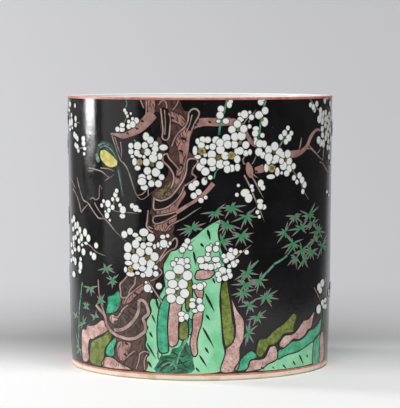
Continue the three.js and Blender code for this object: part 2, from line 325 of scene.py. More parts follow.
class Coat:
    """Thin raised tiles of one enamel, drawn flat and laid on the wall."""

    def __init__(self, wall):
        self.wall = wall
        self.points = []
        self.faces = []
        self.rims = []

    def vertex(self, arc, z, lift, rim=0.0):
        """Adds a point, kept between the red lines, with how near it is to a rim or a tip."""
        z = min(max(z, self.wall.ground_bottom + EDGE_KEEP), self.wall.ground_top - EDGE_KEEP)
        self.points.append(self.wall.place(arc, z, lift))
        self.rims.append(rim)
        return len(self.points) - 1

    def disc(self, arc, z, across, up, lift, dome=DISC_DOME):
        """A low round dome, such as a petal or a bud. Its rings have a share of the radius, a height
        and a nearness to the rim."""
        middle = self.vertex(arc, z, lift + dome)
        rings = []
        for share, raised, rim in ((0.62, dome * 0.7, 0.15), (1.0, 0.0, 1.0), (1.02, -SKIRT, 1.0)):
            ring = []
            for i in range(DISC_STEPS):
                a = 2 * math.pi * i / DISC_STEPS
                x, y = arc + across * share * math.cos(a), z + up * share * math.sin(a)
                ring.append(self.vertex(x, y, lift + raised, rim))
            rings.append(ring)
        for i in range(DISC_STEPS):
            j = (i + 1) % DISC_STEPS
            self.faces.append([middle, rings[0][i], rings[0][j]])
            for inner, outer in zip(rings, rings[1:]):
                self.faces.append([inner[i], outer[i], outer[j], inner[j]])

    def ribbon(self, path, width, lift, closed=False, taper=0.0):
        """A band along a smooth line. The width is None where each point carries its own."""
        drawn = [(*p, width) if len(p) == 2 else p for p in path]
        line = curve(drawn, closed)
        count = len(line)
        rows = []
        for i, (arc, z, wide) in enumerate(line):
            before = line[i - 1] if i or closed else line[i]
            after = line[(i + 1) % count] if i < count - 1 or closed else line[i]
            run = Vector((after[0] - before[0], after[1] - before[1]))
            if run.length < 1e-6:
                run = Vector((1.0, 0.0))
            across = Vector((-run.y, run.x)).normalized() * wide / 2
            if taper and not closed:
                across *= min(1.0, (count - 1 - i) / max(1.0, taper * count) + TAPER_END)
            row = []
            for share, raised in ((-1.0, -SKIRT), (-1.0, 0.0), (1.0, 0.0), (1.0, -SKIRT)):
                row.append(self.vertex(arc + across.x * share, z + across.y * share, lift + raised, 0.4))
            rows.append(row)
        pairs = list(zip(rows, rows[1:]))
        if closed:
            pairs.append((rows[-1], rows[0]))
        for a, b in pairs:
            for k in range(3):
                self.faces.append([a[k], a[k + 1], b[k + 1], b[k]])

    def patch(self, outline, lift):
        """A filled shape, cut fine enough to lie close on the wall, and finer round it than up it."""
        shape = curve(outline, closed=True, step=PATCH_STEP)
        work = bmesh.new()
        work.faces.new([work.verts.new((arc, z, 0.0)) for arc, z in shape])
        bmesh.ops.triangulate(work, faces=work.faces[:])
        for axis, step in ((0, TILE_STEP), (1, TILE_STEP * 3)):
            values = [p[axis] for p in shape]
            cut = math.ceil(min(values) / step) * step
            while cut < max(values):
                place = Vector((0, 0, 0))
                place[axis] = cut
                normal = Vector((0, 0, 0))
                normal[axis] = 1.0
                parts = work.verts[:] + work.edges[:] + work.faces[:]
                bmesh.ops.bisect_plane(work, geom=parts, plane_co=place, plane_no=normal)
                cut += step
        work.verts.index_update()
        first = {v.index: self.vertex(v.co.x, v.co.y, lift) for v in work.verts}
        for face in work.faces:
            self.faces.append([first[v.index] for v in face.verts])
        low = {}
        for edge in work.edges:
            if edge.is_boundary:
                for v in edge.verts:
                    if v.index not in low:
                        low[v.index] = self.vertex(v.co.x, v.co.y, lift - SKIRT)
                a, b = (v.index for v in edge.verts)
                self.faces.append([first[a], first[b], low[b], low[a]])
        work.free()

    def blade(self, base, tip, width, lift):
        """A slim pointed shape from base to tip, such as a bamboo leaf or a brush stroke. Each row has
        a share of the length and of the width."""
        run = Vector((tip[0] - base[0], tip[1] - base[1]))
        across = Vector((-run.y, run.x)).normalized() * width / 2
        rows = []
        for along, wide in ((0.0, 0.35), (0.18, 0.85), (0.45, 1.0), (0.75, 0.55), (1.0, 0.04)):
            x, y = base[0] + run.x * along, base[1] + run.y * along
            row = []
            for share, raised in ((-1, -SKIRT), (-1, 0.0), (0, BLADE_RIDGE), (1, 0.0), (1, -SKIRT)):
                out = across.x * wide * share
                up = across.y * wide * share
                row.append(self.vertex(x + out, y + up, lift + raised, along))
            rows.append(row)
        for a, b in zip(rows, rows[1:]):
            for k in range(4):
                self.faces.append([a[k], a[k + 1], b[k + 1], b[k]])

    def make(self, name, finish, slot, nodes=()):
        """The coat as one piece, with its rims for the enamels that fade towards them."""
        return piece(name, self.points, self.faces, finish, nodes, self.rims)


# Materials
def node(tree, kind, inputs=None, **settings):
    """A shader node with its settings, its constant inputs and its links."""
    made = tree.nodes.new(kind)
    for key, value in settings.items():
        setattr(made, key, value)
    for key, value in (inputs or {}).items():
        if isinstance(value, bpy.types.NodeSocket):
            tree.links.new(value, made.inputs[key])
        else:
            made.inputs[key].default_value = value
    return made


def start(name):
    """A new material with its shader, its texture coordinates in metres and its tree."""
    made = bpy.data.materials.new(name)
    made.use_nodes = True
    tree = made.node_tree
    tree.nodes.clear()
    shader = node(tree, "ShaderNodeBsdfPrincipled")
    node(tree, "ShaderNodeOutputMaterial", {"Surface": shader.outputs["BSDF"]})
    place = node(tree, "ShaderNodeTexCoord").outputs["Object"]
    return made, tree, shader, place


def noise(tree, place, size_mm, detail=3.0, roughness=0.5):
    """Soft noise whose blots are about size_mm across."""
    return node(
        tree,
        "ShaderNodeTexNoise",
        {"Vector": place, "Scale": 1 / (size_mm * MM), "Detail": detail, "Roughness": roughness},
    ).outputs["Fac"]


def levels(tree, value, low, high, to_low=0.0, to_high=1.0):
    """A value stretched from one range to another and held inside it."""
    return node(
        tree,
        "ShaderNodeMapRange",
        {"Value": value, "From Min": low, "From Max": high, "To Min": to_low, "To Max": to_high},
    ).outputs["Result"]


def mix(tree, share, first, second):
    """Two colours mixed: the first where share is 0, the second where it is 1."""
    made = node(tree, "ShaderNodeMix", data_type="RGBA")
    for index, value in ((0, share), (6, first), (7, second)):
        if isinstance(value, bpy.types.NodeSocket):
            tree.links.new(value, made.inputs[index])
        else:
            made.inputs[index].default_value = value
    return made.outputs[2]


def shade(value, factor):
    """A colour made lighter or darker by a factor."""
    return (*[min(1.0, c * factor) for c in value[:3]], 1.0)


def bump(tree, shader, height, strength, distance_mm):
    """A skin whose small hills follow a height."""
    inputs = {"Height": height, "Strength": strength, "Distance": distance_mm * MM}
    made = node(tree, "ShaderNodeBump", inputs)
    tree.links.new(made.outputs["Normal"], shader.inputs["Normal"])


def known(name, build):
    """A material that pieces share, built once."""
    return bpy.data.materials.get(name) or build(name)


def glazed_porcelain(colours):
    """White glazed porcelain: faintly uneven milky glaze with a wet shine and rare iron specks."""

    def build(name):
        made, tree, shader, place = start(name)
        cloud = noise(tree, place, 22, 3)
        tone = mix(tree, cloud, colours.glaze[:], shade(colours.glaze[:], 0.93))
        speck = levels(tree, noise(tree, place, 2.2, 1), 0.76, 0.80)
        tree.links.new(mix(tree, speck, tone, srgb("8a7a66")), shader.inputs["Base Color"])
        shader.inputs["Roughness"].default_value = 0.12
        shader.inputs["IOR"].default_value = 1.5
        bump(tree, shader, noise(tree, place, 6, 2), 0.15, 0.15)
        return made

    return known("Glazed_porcelain", build)


def bare_biscuit(colours):
    """Bare fired clay of the foot: warm cream, fine sandy grain and brown burnish."""

    def build(name):
        made, tree, shader, place = start(name)
        grain = noise(tree, place, 0.7, 4, 0.7)
        stain = levels(tree, noise(tree, place, 11, 4, 0.6), 0.5, 0.75)
        tone = mix(tree, grain, shade(colours.biscuit[:], 0.86), shade(colours.biscuit[:], 1.06))
        tree.links.new(mix(tree, stain, tone, srgb("c9a878")), shader.inputs["Base Color"])
        shader.inputs["Roughness"].default_value = 0.68
        bump(tree, shader, grain, 0.4, 0.12)
        return made

    return known("Bare_biscuit", build)


def black_ground(colours):
    """Black overglaze enamel of the ground: wet gloss, faint grey clouding, pinholes and a wavy skin
    that makes long reflections wobble."""

    def build(name):
        made, tree, shader, place = start(name)
        cloud = levels(tree, noise(tree, place, 24, 5, 0.65), 0.42, 0.8)
        tone = mix(tree, cloud, colours.ground[:], srgb("1b1b1e"))
        hole = levels(tree, noise(tree, place, 1.1, 1), 0.77, 0.82)
        tree.links.new(mix(tree, hole, tone, srgb("4c4a48")), shader.inputs["Base Color"])
        skin = noise(tree, place, 9, 3, 0.6)
        gloss = levels(tree, noise(tree, place, 14, 4), 0.3, 0.8, 0.10, 0.20)
        tree.links.new(gloss, shader.inputs["Roughness"])
        shader.inputs["IOR"].default_value = 1.5
        bump(tree, shader, skin, 0.5, 0.22)
        return made

    return known("Black_ground_enamel", build)


def iron_red(colours):
    """Iron-red line: a thin brushed wash that lets the white glaze show where the brush ran dry."""

    def build(name):
        made, tree, shader, place = start(name)
        thin = levels(tree, noise(tree, place, 5, 4, 0.7), 0.35, 0.7)
        tone = mix(tree, thin, colours.iron_red[:], srgb("d99b8c"))
        tree.links.new(tone, shader.inputs["Base Color"])
        shader.inputs["Roughness"].default_value = 0.35
        bump(tree, shader, thin, 0.2, 0.05)
        return made

    return known("Iron_red_enamel", build)


def enamel(name, tone, deep, pale, blot_mm, streak_mm, speckle, gloss):
    """A translucent overglaze enamel: it pools deep and runs thin in blots, shows fine brush streaks,
    carries dark stipple dots where speckle is above 0, and has a wet, slightly rippled skin."""

    def build(title):
        made, tree, shader, place = start(title)
        pool = levels(tree, noise(tree, place, blot_mm, 4, 0.6), 0.38, 0.62)
        body = mix(tree, pool, pale, deep)
        streak = levels(tree, noise(tree, place, streak_mm, 5, 0.7), 0.35, 0.7)
        body = mix(tree, levels(tree, streak, 0.0, 1.0, 0.0, 0.55), body, tone)
        if speckle > 0:
            dots = node(
                tree, "ShaderNodeTexVoronoi", {"Vector": place, "Scale": 1 / (1.7 * MM), "Randomness": 1.0}
            )
            near = levels(tree, dots.outputs["Distance"], 0.20, 0.36, speckle, 0.0)
            body = mix(tree, near, body, shade(deep, 0.25))
        tree.links.new(body, shader.inputs["Base Color"])
        shader.inputs["Roughness"].default_value = gloss
        shader.inputs["IOR"].default_value = 1.5
        bump(tree, shader, noise(tree, place, 2.5, 3), 0.25, 0.1)
        return made

    return known(name, build)


def petal_enamel(colours):
    """Opaque blossom white, with painted shade that greys each petal towards its rim as if it curved away
    from the light.
    """

    def build(name):
        made, tree, shader, place = start(name)
        rim = node(tree, "ShaderNodeAttribute", attribute_name="rim").outputs["Fac"]
        # Painted shade: the outer part of each petal is mixed towards grey, standing in for the shade of
        # its curve
        edge = levels(tree, rim, 0.6, 1.0, 0.0, 0.4)
        cloud = noise(tree, place, 3.0, 3)
        tone = mix(tree, cloud, colours.white[:], shade(colours.white[:], 0.9))
        tree.links.new(mix(tree, edge, tone, srgb("a9aca6")), shader.inputs["Base Color"])
        shader.inputs["Roughness"].default_value = 0.2
        bump(tree, shader, noise(tree, place, 1.6, 2), 0.2, 0.1)
        return made

    return known("Blossom_white_enamel", build)


def leaf_enamel(colours):
    """Bamboo leaf: green enamel at the stalk that thins to pinkish grey at the tip."""

    def build(name):
        made, tree, shader, place = start(name)
        along = node(tree, "ShaderNodeAttribute", attribute_name="rim").outputs["Fac"]
        tip = levels(tree, along, 0.25, 0.75)
        green = mix(tree, noise(tree, place, 7, 3), srgb("1e7d50"), srgb("4b9c6b"))
        tree.links.new(mix(tree, tip, green, colours.grey_leaf[:]), shader.inputs["Base Color"])
        shader.inputs["Roughness"].default_value = 0.22
        bump(tree, shader, noise(tree, place, 1.2, 2), 0.2, 0.08)
        return made

    return known("Bamboo_leaf_enamel", build)


def palette(colours):
    """The enamels of the picture, each with its name, tone, deep and pale colour, the millimetres of its
    blots and streaks, its speckle and its roughness."""
    dark = colours.aubergine[:]
    pink = colours.bark_pink[:]
    ink = colours.line[:]
    green = colours.pale_green[:]
    emerald = colours.emerald[:]
    moss = colours.moss[:]
    rose = colours.rose[:]
    yellow = colours.yellow[:]
    rows = {
        "aubergine": ("Aubergine_enamel", dark, shade(dark, 0.55), shade(dark, 1.35), 6, 1.3, 0.0, 0.2),
        "bark_pink": ("Bark_pink_enamel", pink, shade(pink, 0.66), shade(pink, 1.25), 5, 1.2, 0.0, 0.25),
        "edge_pink": ("Bark_edge_enamel",
            srgb("ae8f88"), srgb("8d706a"), srgb("c6aaa2"), 7, 1.5, 0.0, 0.25),
        "twig": ("Twig_enamel", srgb("94827a"), srgb("6f605a"), srgb("b3a198"), 6, 1.2, 0.0, 0.25),
        "heartwood": ("Heartwood_enamel",
            srgb("7a6650"), srgb("3c2f24"), srgb("a08c6c"), 2, 0.8, 0.0, 0.25),
        "bush": ("Deep_emerald_enamel", srgb("16694a"), srgb("0b3d2b"), srgb("2b9468"), 4, 1.2, 0.0, 0.15),
        "pale_green": ("Pale_green_enamel", green, srgb("6cc78c"), srgb("a4e3b8"), 16, 3, 0.0, 0.16),
        "emerald": ("Emerald_enamel", emerald, srgb("178a5f"), srgb("55c197"), 6, 1.6, 0.35, 0.15),
        "moss": ("Moss_green_enamel", moss, srgb("4d5c14"), srgb("8c9842"), 5, 1.4, 0.5, 0.18),
        "rose": ("Rose_enamel", rose, srgb("a87870"), srgb("e4c6bc"), 7, 1.6, 0.6, 0.3),
        "yellow": ("Yellow_enamel", yellow, srgb("b9a83c"), srgb("e6df96"), 4, 1.0, 0.0, 0.2),
        "dark_line": ("Drawing_line_enamel", ink, shade(ink, 0.7), shade(ink, 1.5), 4, 1.0, 0.0, 0.3),
        "stem_green": ("Calyx_green_enamel",
            srgb("3d8a68"), srgb("1d6b48"), srgb("7fae96"), 3, 1.0, 0.0, 0.2),
        "fold": ("Dark_fold_enamel", srgb("4a3833"), srgb("2b1f1c"), srgb("6c564e"), 3, 0.9, 0.0, 0.25),
        "cup": ("Flower_cup_enamel", srgb("b3a564"), srgb("85762f"), srgb("d9d19c"), 2, 0.8, 0.4, 0.25),
        "stamen": ("Stamen_olive_enamel",
            srgb("6d5f2c"), srgb("40361a"), srgb("998a4a"), 1.6, 0.6, 0.3, 0.3),
    }
    return {key: enamel(*row) for key, row in rows.items()}


# The drawn picture, in millimetres of arc and height
TRUNK_UPPER = [
    (-37, 182), (-32, 172), (-27, 172), (-25, 160), (-20, 152), (-21, 143), (-21, 133), (-31, 122),
    (-32, 112), (-36, 102), (-28, 94), (-18, 96), (-16, 108), (-13, 120), (-6, 132), (-2, 143),
    (-8, 150), (-4, 162), (-2, 173), (-8, 174), (-14, 176), (-14, 182),
]
TRUNK_LOWER = [
    (-28, 96), (-36, 84), (-46, 68), (-57, 62), (-56, 52), (-66, 43), (-71, 38), (-66, 30), (-60, 24),
    (-62, 6), (-37, 6), (-38, 22), (-36, 36), (-34, 50), (-29, 66), (-18, 86), (-18, 96),
]

# Pale faces of the trunk between its dark hollows
TRUNK_FACES = [
    [(-19, 174), (-15, 173), (-11, 171), (-7, 166), (-3, 166), (2, 169.5), (2, 164.5), (-3, 163),
        (-6, 158), (-7, 150), (-8, 144), (-9, 136), (-12, 128), (-16, 124), (-18, 127), (-16.5, 134),
        (-13.5, 140), (-14, 148), (-16, 155), (-14, 160), (-11, 163), (-14, 166), (-19, 168)],
    [(-29, 110), (-22, 112), (-15, 117), (-10, 124), (-9, 121), (-14, 113), (-15, 109.5), (-22, 107.8),
        (-28, 107.5)],
    [(-33, 101), (-30, 98), (-27, 97), (-21, 97), (-16, 102), (-15, 107), (-19, 105), (-24, 102.5),
        (-30, 101)],
    [(-36, 184), (-35, 176), (-31, 171), (-29, 176), (-30, 184)],
    [(-59, 23), (-54, 24), (-48, 23), (-50, 17), (-52, 12), (-57, 11), (-60, 16)],
    [(-49, 56), (-43, 60), (-38, 62), (-38, 58), (-44, 54), (-48, 50), (-54, 48), (-54, 52)],
]
# Near-black hollows in the trunk, and its hatched aubergine folds
TRUNK_HOLLOWS = [
    [(-25.4, 176), (-24.4, 168), (-23.8, 161), (-24, 158), (-22.6, 156.4), (-20.8, 158), (-20, 165),
        (-19.8, 172), (-21, 176)],
    [(-6.8, 173), (-5, 174.6), (-2.6, 174.8), (-1.4, 173), (-1.8, 171), (-4.6, 165.4), (-6.2, 161.4),
        (-8.8, 163.8), (-7.4, 168)],
    [(-8.4, 140), (-7.6, 142), (-6, 143), (-3, 142.8), (-2.4, 141.6), (-3.2, 139.8), (-5.4, 137.6),
        (-6, 134), (-7, 130), (-9.8, 127.4), (-10.6, 130.6), (-9.4, 135)],
    [(-30, 117.6), (-29.8, 113), (-28.6, 111.6), (-22, 113), (-16.4, 117), (-13.4, 120.4), (-15, 122.6),
        (-19.5, 118), (-25.8, 115.8)],
    [(-30.4, 103.2), (-29.8, 105.2), (-27.8, 106), (-22, 107), (-16.6, 108.6), (-19.8, 106),
        (-24.6, 103.6), (-29.4, 102.4)],
    [(-23, 145.4), (-21.4, 146), (-20.4, 143.2), (-16.6, 138.6), (-15, 135), (-16.4, 131),
        (-17.4, 133.4), (-20, 138.6), (-23.2, 142.4)],
    [(-31, 160), (-27, 166), (-25.6, 172), (-29, 174), (-32.4, 168)],
    [(-34, 108), (-32.2, 108), (-31.6, 100), (-33.8, 100)],
    [(-16.8, 91.4), (-15.8, 92), (-15.6, 89.6), (-17.4, 87), (-21, 85.4), (-24.6, 80.6), (-27, 78.4),
        (-23.6, 83.4), (-19.4, 88.6)],
]
TRUNK_FOLDS = [
    [(-55.4, 60.8), (-54.2, 54), (-50.4, 54.2), (-49, 58), (-45.4, 62.4), (-45, 66), (-50, 66)],
    [(-40.8, 49), (-40, 50.8), (-37.8, 49.6), (-36.2, 46), (-36, 43.6), (-39.6, 40.2), (-41, 44)],
    [(-62, 37), (-58, 38), (-52, 45), (-47, 44), (-43, 41), (-46, 38.4), (-50.4, 35.6), (-56, 32.6),
        (-62, 32.2)],
    [(-55, 30.4), (-49, 33.6), (-44, 38), (-41.6, 43), (-39.6, 41), (-38.6, 36.4), (-38.4, 32.4),
        (-41, 30), (-45, 28), (-51, 27.2), (-56, 28)],
    [(-43.6, 6), (-41, 13), (-40.6, 16), (-38.4, 17.2), (-39.2, 12.4), (-38.8, 6)],
    [(-34, 143), (-30, 150), (-27, 158), (-24, 152), (-23, 146), (-26, 140)],
]
# Brushwork of the bark, which follows the grain of the trunk from the mouth down to the foot
BRUSH_SEED = 5
BRUSH_STROKES = 210
BRUSH_SWAY = 0.25
BRUSH_REACH = (1.2, 3.2)
TRUNK_GRAIN = [
    (-25, 184), (-15, 165), (-10, 152), (-14, 136), (-24, 120), (-25, 105), (-25, 94), (-38, 76),
    (-46, 60), (-50, 45), (-50, 30), (-48, 6),
]
# Fine hatching in the folds, each line from one end to the other
HATCHING = [
    ((-53.6, 61), (-50.6, 56)), ((-52.4, 62.6), (-49, 58.6)), ((-51, 64), (-47.6, 60.6)),
    ((-49.6, 65.4), (-46.6, 62.6)), ((-51, 28.4), (-46, 34)), ((-49, 28), (-43.6, 36)),
    ((-46.6, 28.4), (-42, 38)), ((-44.4, 29), (-40.8, 38.6)), ((-42.4, 30), (-39.4, 37)),
    ((-58.6, 36.6), (-55, 33.6)), ((-56.6, 38.6), (-52, 35)), ((-54, 41), (-49.4, 36.6)),
    ((-51.4, 43), (-47, 38.4)), ((-48.6, 43.4), (-45, 40)), ((-23.8, 171), (-23.2, 160)),
    ((-21.6, 171), (-21.8, 159)), ((-28, 114.6), (-18, 117.4)), ((-28, 104.4), (-19, 106.8)),
    ((-18, 160), (-19.6, 150)), ((-17, 158), (-18, 149)), ((-12.4, 155), (-15, 150)),
    ((-9.6, 146), (-12, 139)), ((-8.6, 158), (-10, 152)), ((-48, 47.6), (-42.4, 54)),
    ((-46.4, 45.6), (-42.6, 50)), ((-55, 44), (-50.6, 49.6)), ((-36.6, 60), (-31, 66)),
    ((-40, 56.6), (-35.6, 61)), ((-42.4, 22), (-39.6, 27)), ((-40, 19), (-38.8, 24)),
    ((-59, 18), (-56, 23)), ((-54, 8), (-52.6, 13)), ((-47.6, 8), (-46, 14)), ((-33.6, 70), (-26, 78)),
    ((-30, 90), (-25, 96)), ((-27, 92), (-22, 97)), ((-32, 84), (-27, 90)), ((-38.6, 178), (-37, 184)),
    ((-33, 177), (-32, 184)), ((-29, 175), (-28, 183)), ((-18.6, 177), (-17.6, 183)),
    ((-25.6, 127), (-19, 130)), ((-27, 124), (-20, 126)), ((-25, 121), (-17, 124)),
]
TRUNK_OLIVE = [
    [(-29, 122), (-24, 125), (-18, 129), (-14.5, 125), (-20, 119.5), (-26, 117.6), (-29.5, 119)],
]

# Pale edge lines of the bark, each a line with a width
BARK_EDGES = [
    (0.9, [(-35.5, 184), (-35.3, 178), (-35.6, 172), (-38, 168)]),
    (0.8, [(-40.5, 184), (-38, 178), (-37, 176)]),
    (0.9, [(-25.5, 176), (-24.6, 168), (-24, 161), (-24.6, 157.4), (-22.6, 155.6), (-20.2, 157),
        (-19.4, 164), (-19, 170), (-20.2, 173)]),
    (0.6, [(-23, 175), (-22.4, 167), (-22.8, 159)]),
    (0.8, [(-27, 178), (-24.5, 181), (-22, 180), (-21.4, 176)]),
    (0.8, [(-13.5, 184), (-14.5, 179), (-17.5, 175)]),
    (1.0, [(-18.3, 151.5), (-16.4, 156.5), (-13.3, 161), (-10.1, 163.6), (-7.6, 168.4), (-7.2, 173),
        (-5, 175.4), (-2.6, 175.6), (-0.6, 173.8), (-1, 171), (-3.9, 165.5), (-5.6, 161.5)]),
    (0.7, [(-8.6, 161), (-6.4, 166.5), (-5, 172)]),
    (1.0, [(-29.5, 117.8), (-25.8, 116.6), (-19.5, 119), (-14.5, 124.6), (-10.8, 130.3), (-8.9, 135.5),
        (-8.3, 141.5), (-7, 143.6), (-4, 144), (-1.4, 142.8), (-2, 140.4), (-4.4, 137.8), (-5, 134.2),
        (-2.4, 132), (-4.6, 129.6), (-10, 126.4)]),
    (0.9, [(-30.1, 119), (-30.5, 115.3), (-30.6, 111.6), (-28.3, 110.7), (-22, 112.1), (-15.8, 116.6),
        (-12, 121.5), (-10.3, 126)]),
    (0.9, [(-31.2, 103), (-30.8, 105.9), (-28.3, 106.9), (-22, 107.8), (-15.8, 109.7), (-11, 112)]),
    (0.9, [(-31.2, 103), (-29.5, 101.6), (-24.5, 102.8), (-19.5, 105.3), (-15.1, 107.8)]),
    (0.9, [(-23.9, 145.9), (-21.4, 147), (-20, 144), (-15.8, 139.6), (-13.9, 137)]),
    (1.0, [(-23.9, 146), (-24.2, 142.5), (-19.7, 138), (-17.2, 133.4), (-17.2, 129), (-18.9, 124.8)]),
    (0.9, [(-34.4, 110.3), (-35.1, 103.4), (-35.6, 99.8), (-33, 97), (-31, 96)]),
    (0.8, [(-34.2, 99.8), (-31.4, 98.8), (-29.4, 101)]),
    (0.8, [(-22, 97.5), (-20.5, 100), (-18.3, 101.6), (-14.5, 103.5)]),
    (1.0, [(-50.1, 67.1), (-53, 64), (-56.1, 61.2), (-55.7, 57), (-55.1, 52.8), (-50.1, 53.4),
        (-48.3, 57.8), (-44.5, 62.1), (-43.9, 66.5)]),
    (0.8, [(-38.3, 62.4), (-43.3, 59), (-49.5, 54), (-53, 49)]),
    (2.0, [(-79.4, 45.9), (-75, 42.8), (-70.2, 39.5), (-68.8, 34.5), (-65, 30), (-60, 27.6),
        (-57, 26.9), (-50.8, 25.8), (-44.5, 26.7), (-40.1, 29.4), (-37.2, 32), (-37.4, 37),
        (-38.6, 39.8), (-34.8, 43), (-35.1, 46.5), (-37, 50.6), (-40.1, 52), (-42, 50.6)]),
    (2.2, [(-41.6, 50.4), (-41.9, 44.8), (-44.6, 39.6), (-49.5, 34.7), (-55.8, 31.4), (-62, 31)]),
    (0.8, [(-33.9, 17.4), (-37.6, 18.4), (-41.4, 16.5), (-42, 12.8), (-44.5, 6.4)]),
    (0.8, [(-36, 16.4), (-38.2, 12.4), (-37.8, 6.4)]),
    (0.8, [(-45.1, 18.4), (-49.5, 15.4), (-52, 13)]),
    (0.9, [(-62, 40), (-58.4, 39.6), (-54, 45), (-50, 48)]),
    (0.9, [(-35.1, 64.6), (-30.8, 59), (-25.1, 51)]),
    (0.9, [(-29, 75.8), (-24.5, 82), (-20, 89), (-15.9, 92.8), (-14.8, 90.2), (-15.9, 86.5),
        (-20.8, 84), (-26.5, 77.6)]),
    (0.8, [(-28.6, 74), (-25, 70.5), (-29, 66.4), (-33, 64.6)]),
    (0.9, [(-76.3, 62.8), (-75.9, 56), (-75, 50.9), (-72.5, 45), (-70.2, 40.5)]),
]

# Boughs and twigs, each point with its own width
BOUGHS = [
    [(-30.5, 172.5, 6.5), (-35.5, 167.5, 7.0), (-41, 162.6, 5.6), (-47.5, 159.4, 4.0),
        (-53, 157.8, 3.4), (-58, 158.6, 2.0), (-63, 159, 1.2)],
    [(-0.5, 167, 5.2), (5, 167.4, 5.2), (11, 167.2, 5.2), (17, 167.6, 5.0), (22.5, 167, 4.4),
        (27, 165, 3.0), (31, 158.5, 2.6), (34, 154, 2.8), (38, 151.6, 1.8), (46, 150, 1.0)],
    [(63, 145.6, 4.6), (70, 146, 4.4), (76, 147.6, 3.0), (81, 151, 2.6), (85, 156.4, 2.6),
        (90, 160, 2.0), (94.5, 161, 1.8), (98, 160.2, 1.2)],
    [(-15.5, 109, 2.4), (-8.3, 113.6, 2.2), (-2, 117.6, 2.0), (4, 122.6, 2.6), (8.6, 128, 3.0)],
    [(31, 141, 2.0), (32.2, 138, 4.4), (33, 134.4, 4.6), (34, 131.4, 2.0)],
    [(36.5, 136, 3.6), (40, 136.5, 4.6), (43, 137.5, 5.0)],
    [(-250, 60, 7.5), (-236, 84, 6.4), (-210, 108, 5.2), (-186, 126, 4.2), (-150, 146, 2.4),
        (-138, 150, 1.2)],
    [(262, 90, 6.0), (244, 112, 5.2), (222, 128, 4.2), (190, 150, 3.2), (160, 158, 2.4),
        (140, 158, 1.2)],
]
TWIGS = [
    (1.0, [(-62, 158), (-58.3, 149), (-55.1, 142.1), (-52.6, 140.4), (-49.5, 136.5), (-46.4, 129),
        (-43.3, 120.9), (-40.8, 117.9), (-38.3, 117.2), (-34.5, 119.6), (-30.1, 123)]),
    (0.9, [(-54.8, 154), (-53.9, 147), (-54.6, 142)]),
    (0.8, [(-59.6, 157), (-56.4, 149), (-54, 144)]),
    (0.7, [(-42, 119.8), (-38.5, 120.6), (-34, 125), (-31.8, 127.5)]),
    (0.8, [(-34.2, 119.6), (-34.4, 123), (-33.6, 125)]),
    (0.9, [(-14.5, 103.5), (-9.5, 106), (-3.3, 110.3), (1.1, 112.8)]),
    (1.2, [(29, 140), (28, 143), (30, 146)]),
    (1.0, [(34.5, 140), (36, 142.5), (37.4, 145.5)]),
    (1.3, [(29, 133), (31.5, 128.5), (35, 121), (38, 114.6), (40.6, 109.4), (43.6, 102.6)]),
    (1.1, [(33, 134), (36, 129.5), (40, 122.5), (42.8, 118)]),
    (0.9, [(34.5, 134), (37, 132), (39, 131)]),
    (0.9, [(32, 167), (34, 171), (37, 175)]),
    (0.9, [(28.5, 166), (30.5, 169), (33, 171.5)]),
    (1.0, [(54, 150), (57, 154), (60, 158)]),
    (1.0, [(72.5, 148.5), (73.8, 152), (74.6, 156.6)]),
    (1.1, [(80, 149), (85, 148.6), (90, 146), (94.5, 143.8), (99, 141.6), (103.4, 140.8)]),
    (1.0, [(83, 151), (86, 149), (90, 146.6), (94, 145.4), (98.6, 148.2)]),
    (1.2, [(97, 139.4), (102, 138.6), (107, 135.6), (112, 133), (117, 131), (125, 130.4)]),
    (1.0, [(102.6, 140), (103.6, 144), (104.6, 150)]),
    (0.9, [(66, 135.6), (70, 131.5), (74, 127), (78, 120.6), (83.6, 115)]),
    (0.9, [(90, 176), (95, 174), (100, 171)]),
    (1.0, [(-125, 127.1), (-117.5, 127.4), (-110.6, 123.4), (-105, 121)]),
    (1.2, [(-112.5, 120.9), (-105, 117.1), (-100, 111.5), (-97, 106.2), (-94, 108), (-88, 111.4),
        (-84, 112)]),
    (1.1, [(-103.8, 129), (-98.8, 120.9), (-93.8, 114.6), (-87.5, 112.8), (-82.5, 109), (-78.8, 105.9),
        (-75, 103.4), (-70, 103.4), (-65.6, 100.9), (-60, 95.9), (-56, 93), (-49.5, 88.4)]),
    (0.8, [(-85, 115.4), (-81, 116.6), (-78.8, 115.3), (-74.8, 116.8), (-74.4, 121), (-73.8, 125.3),
        (-71.4, 122.1)]),
    (1.0, [(-79.6, 113.4), (-77, 110.4), (-74.4, 108), (-70, 104.2), (-67, 103)]),
    (0.9, [(-85.6, 136), (-78.1, 135.3), (-71.3, 134), (-64.4, 130.6), (-60, 133.4)]),
    (0.8, [(-73, 136.5), (-65, 136.2), (-60, 134.6)]),
    (0.8, [(-64.6, 130.4), (-69, 128.2)]),
    (0.7, [(-86.3, 134), (-80, 134.3)]),
    (0.9, [(-100, 86.6), (-92, 86), (-85, 84.6), (-78.8, 81.2), (-68.8, 79)]),
    (0.6, [(-62, 109.2), (-55, 108.4), (-45, 108.2), (-41, 107.6)]),
    (0.7, [(-61, 113), (-60.4, 117), (-59.6, 119)]),
    (0.8, [(-56, 160), (-52, 166), (-49.6, 171), (-51, 178)]),
    (0.7, [(-66, 105), (-68.5, 109), (-69.4, 113)]),
    (1.0, [(20, 77), (26, 82), (30, 85), (34.2, 87.8)]),
    (0.8, [(6.6, 79), (7, 84), (8, 87)]),
    (0.8, [(-12, 79), (-9.8, 84), (-7.6, 88), (-3, 92)]),
    (0.9, [(-104.7, 164.6), (-100, 165.6), (-96.6, 164.9)]),
    (0.9, [(-102, 149), (-96, 148.6), (-91, 150)]),
    (0.9, [(91, 56.6), (96, 52), (100.5, 47.5), (104, 44)]),
    (1.4, [(110, 62), (113, 54), (115, 46)]),
    (1.0, [(104, 44), (110, 43.6), (116, 43)]),
    (0.8, [(-236, 84), (-226, 82), (-216, 86)]),
    (0.8, [(-210, 108), (-196, 106), (-184, 110)]),
    (0.8, [(222, 128), (214, 118), (204, 116)]),
    (0.8, [(190, 150), (178, 144), (168, 146)]),
]
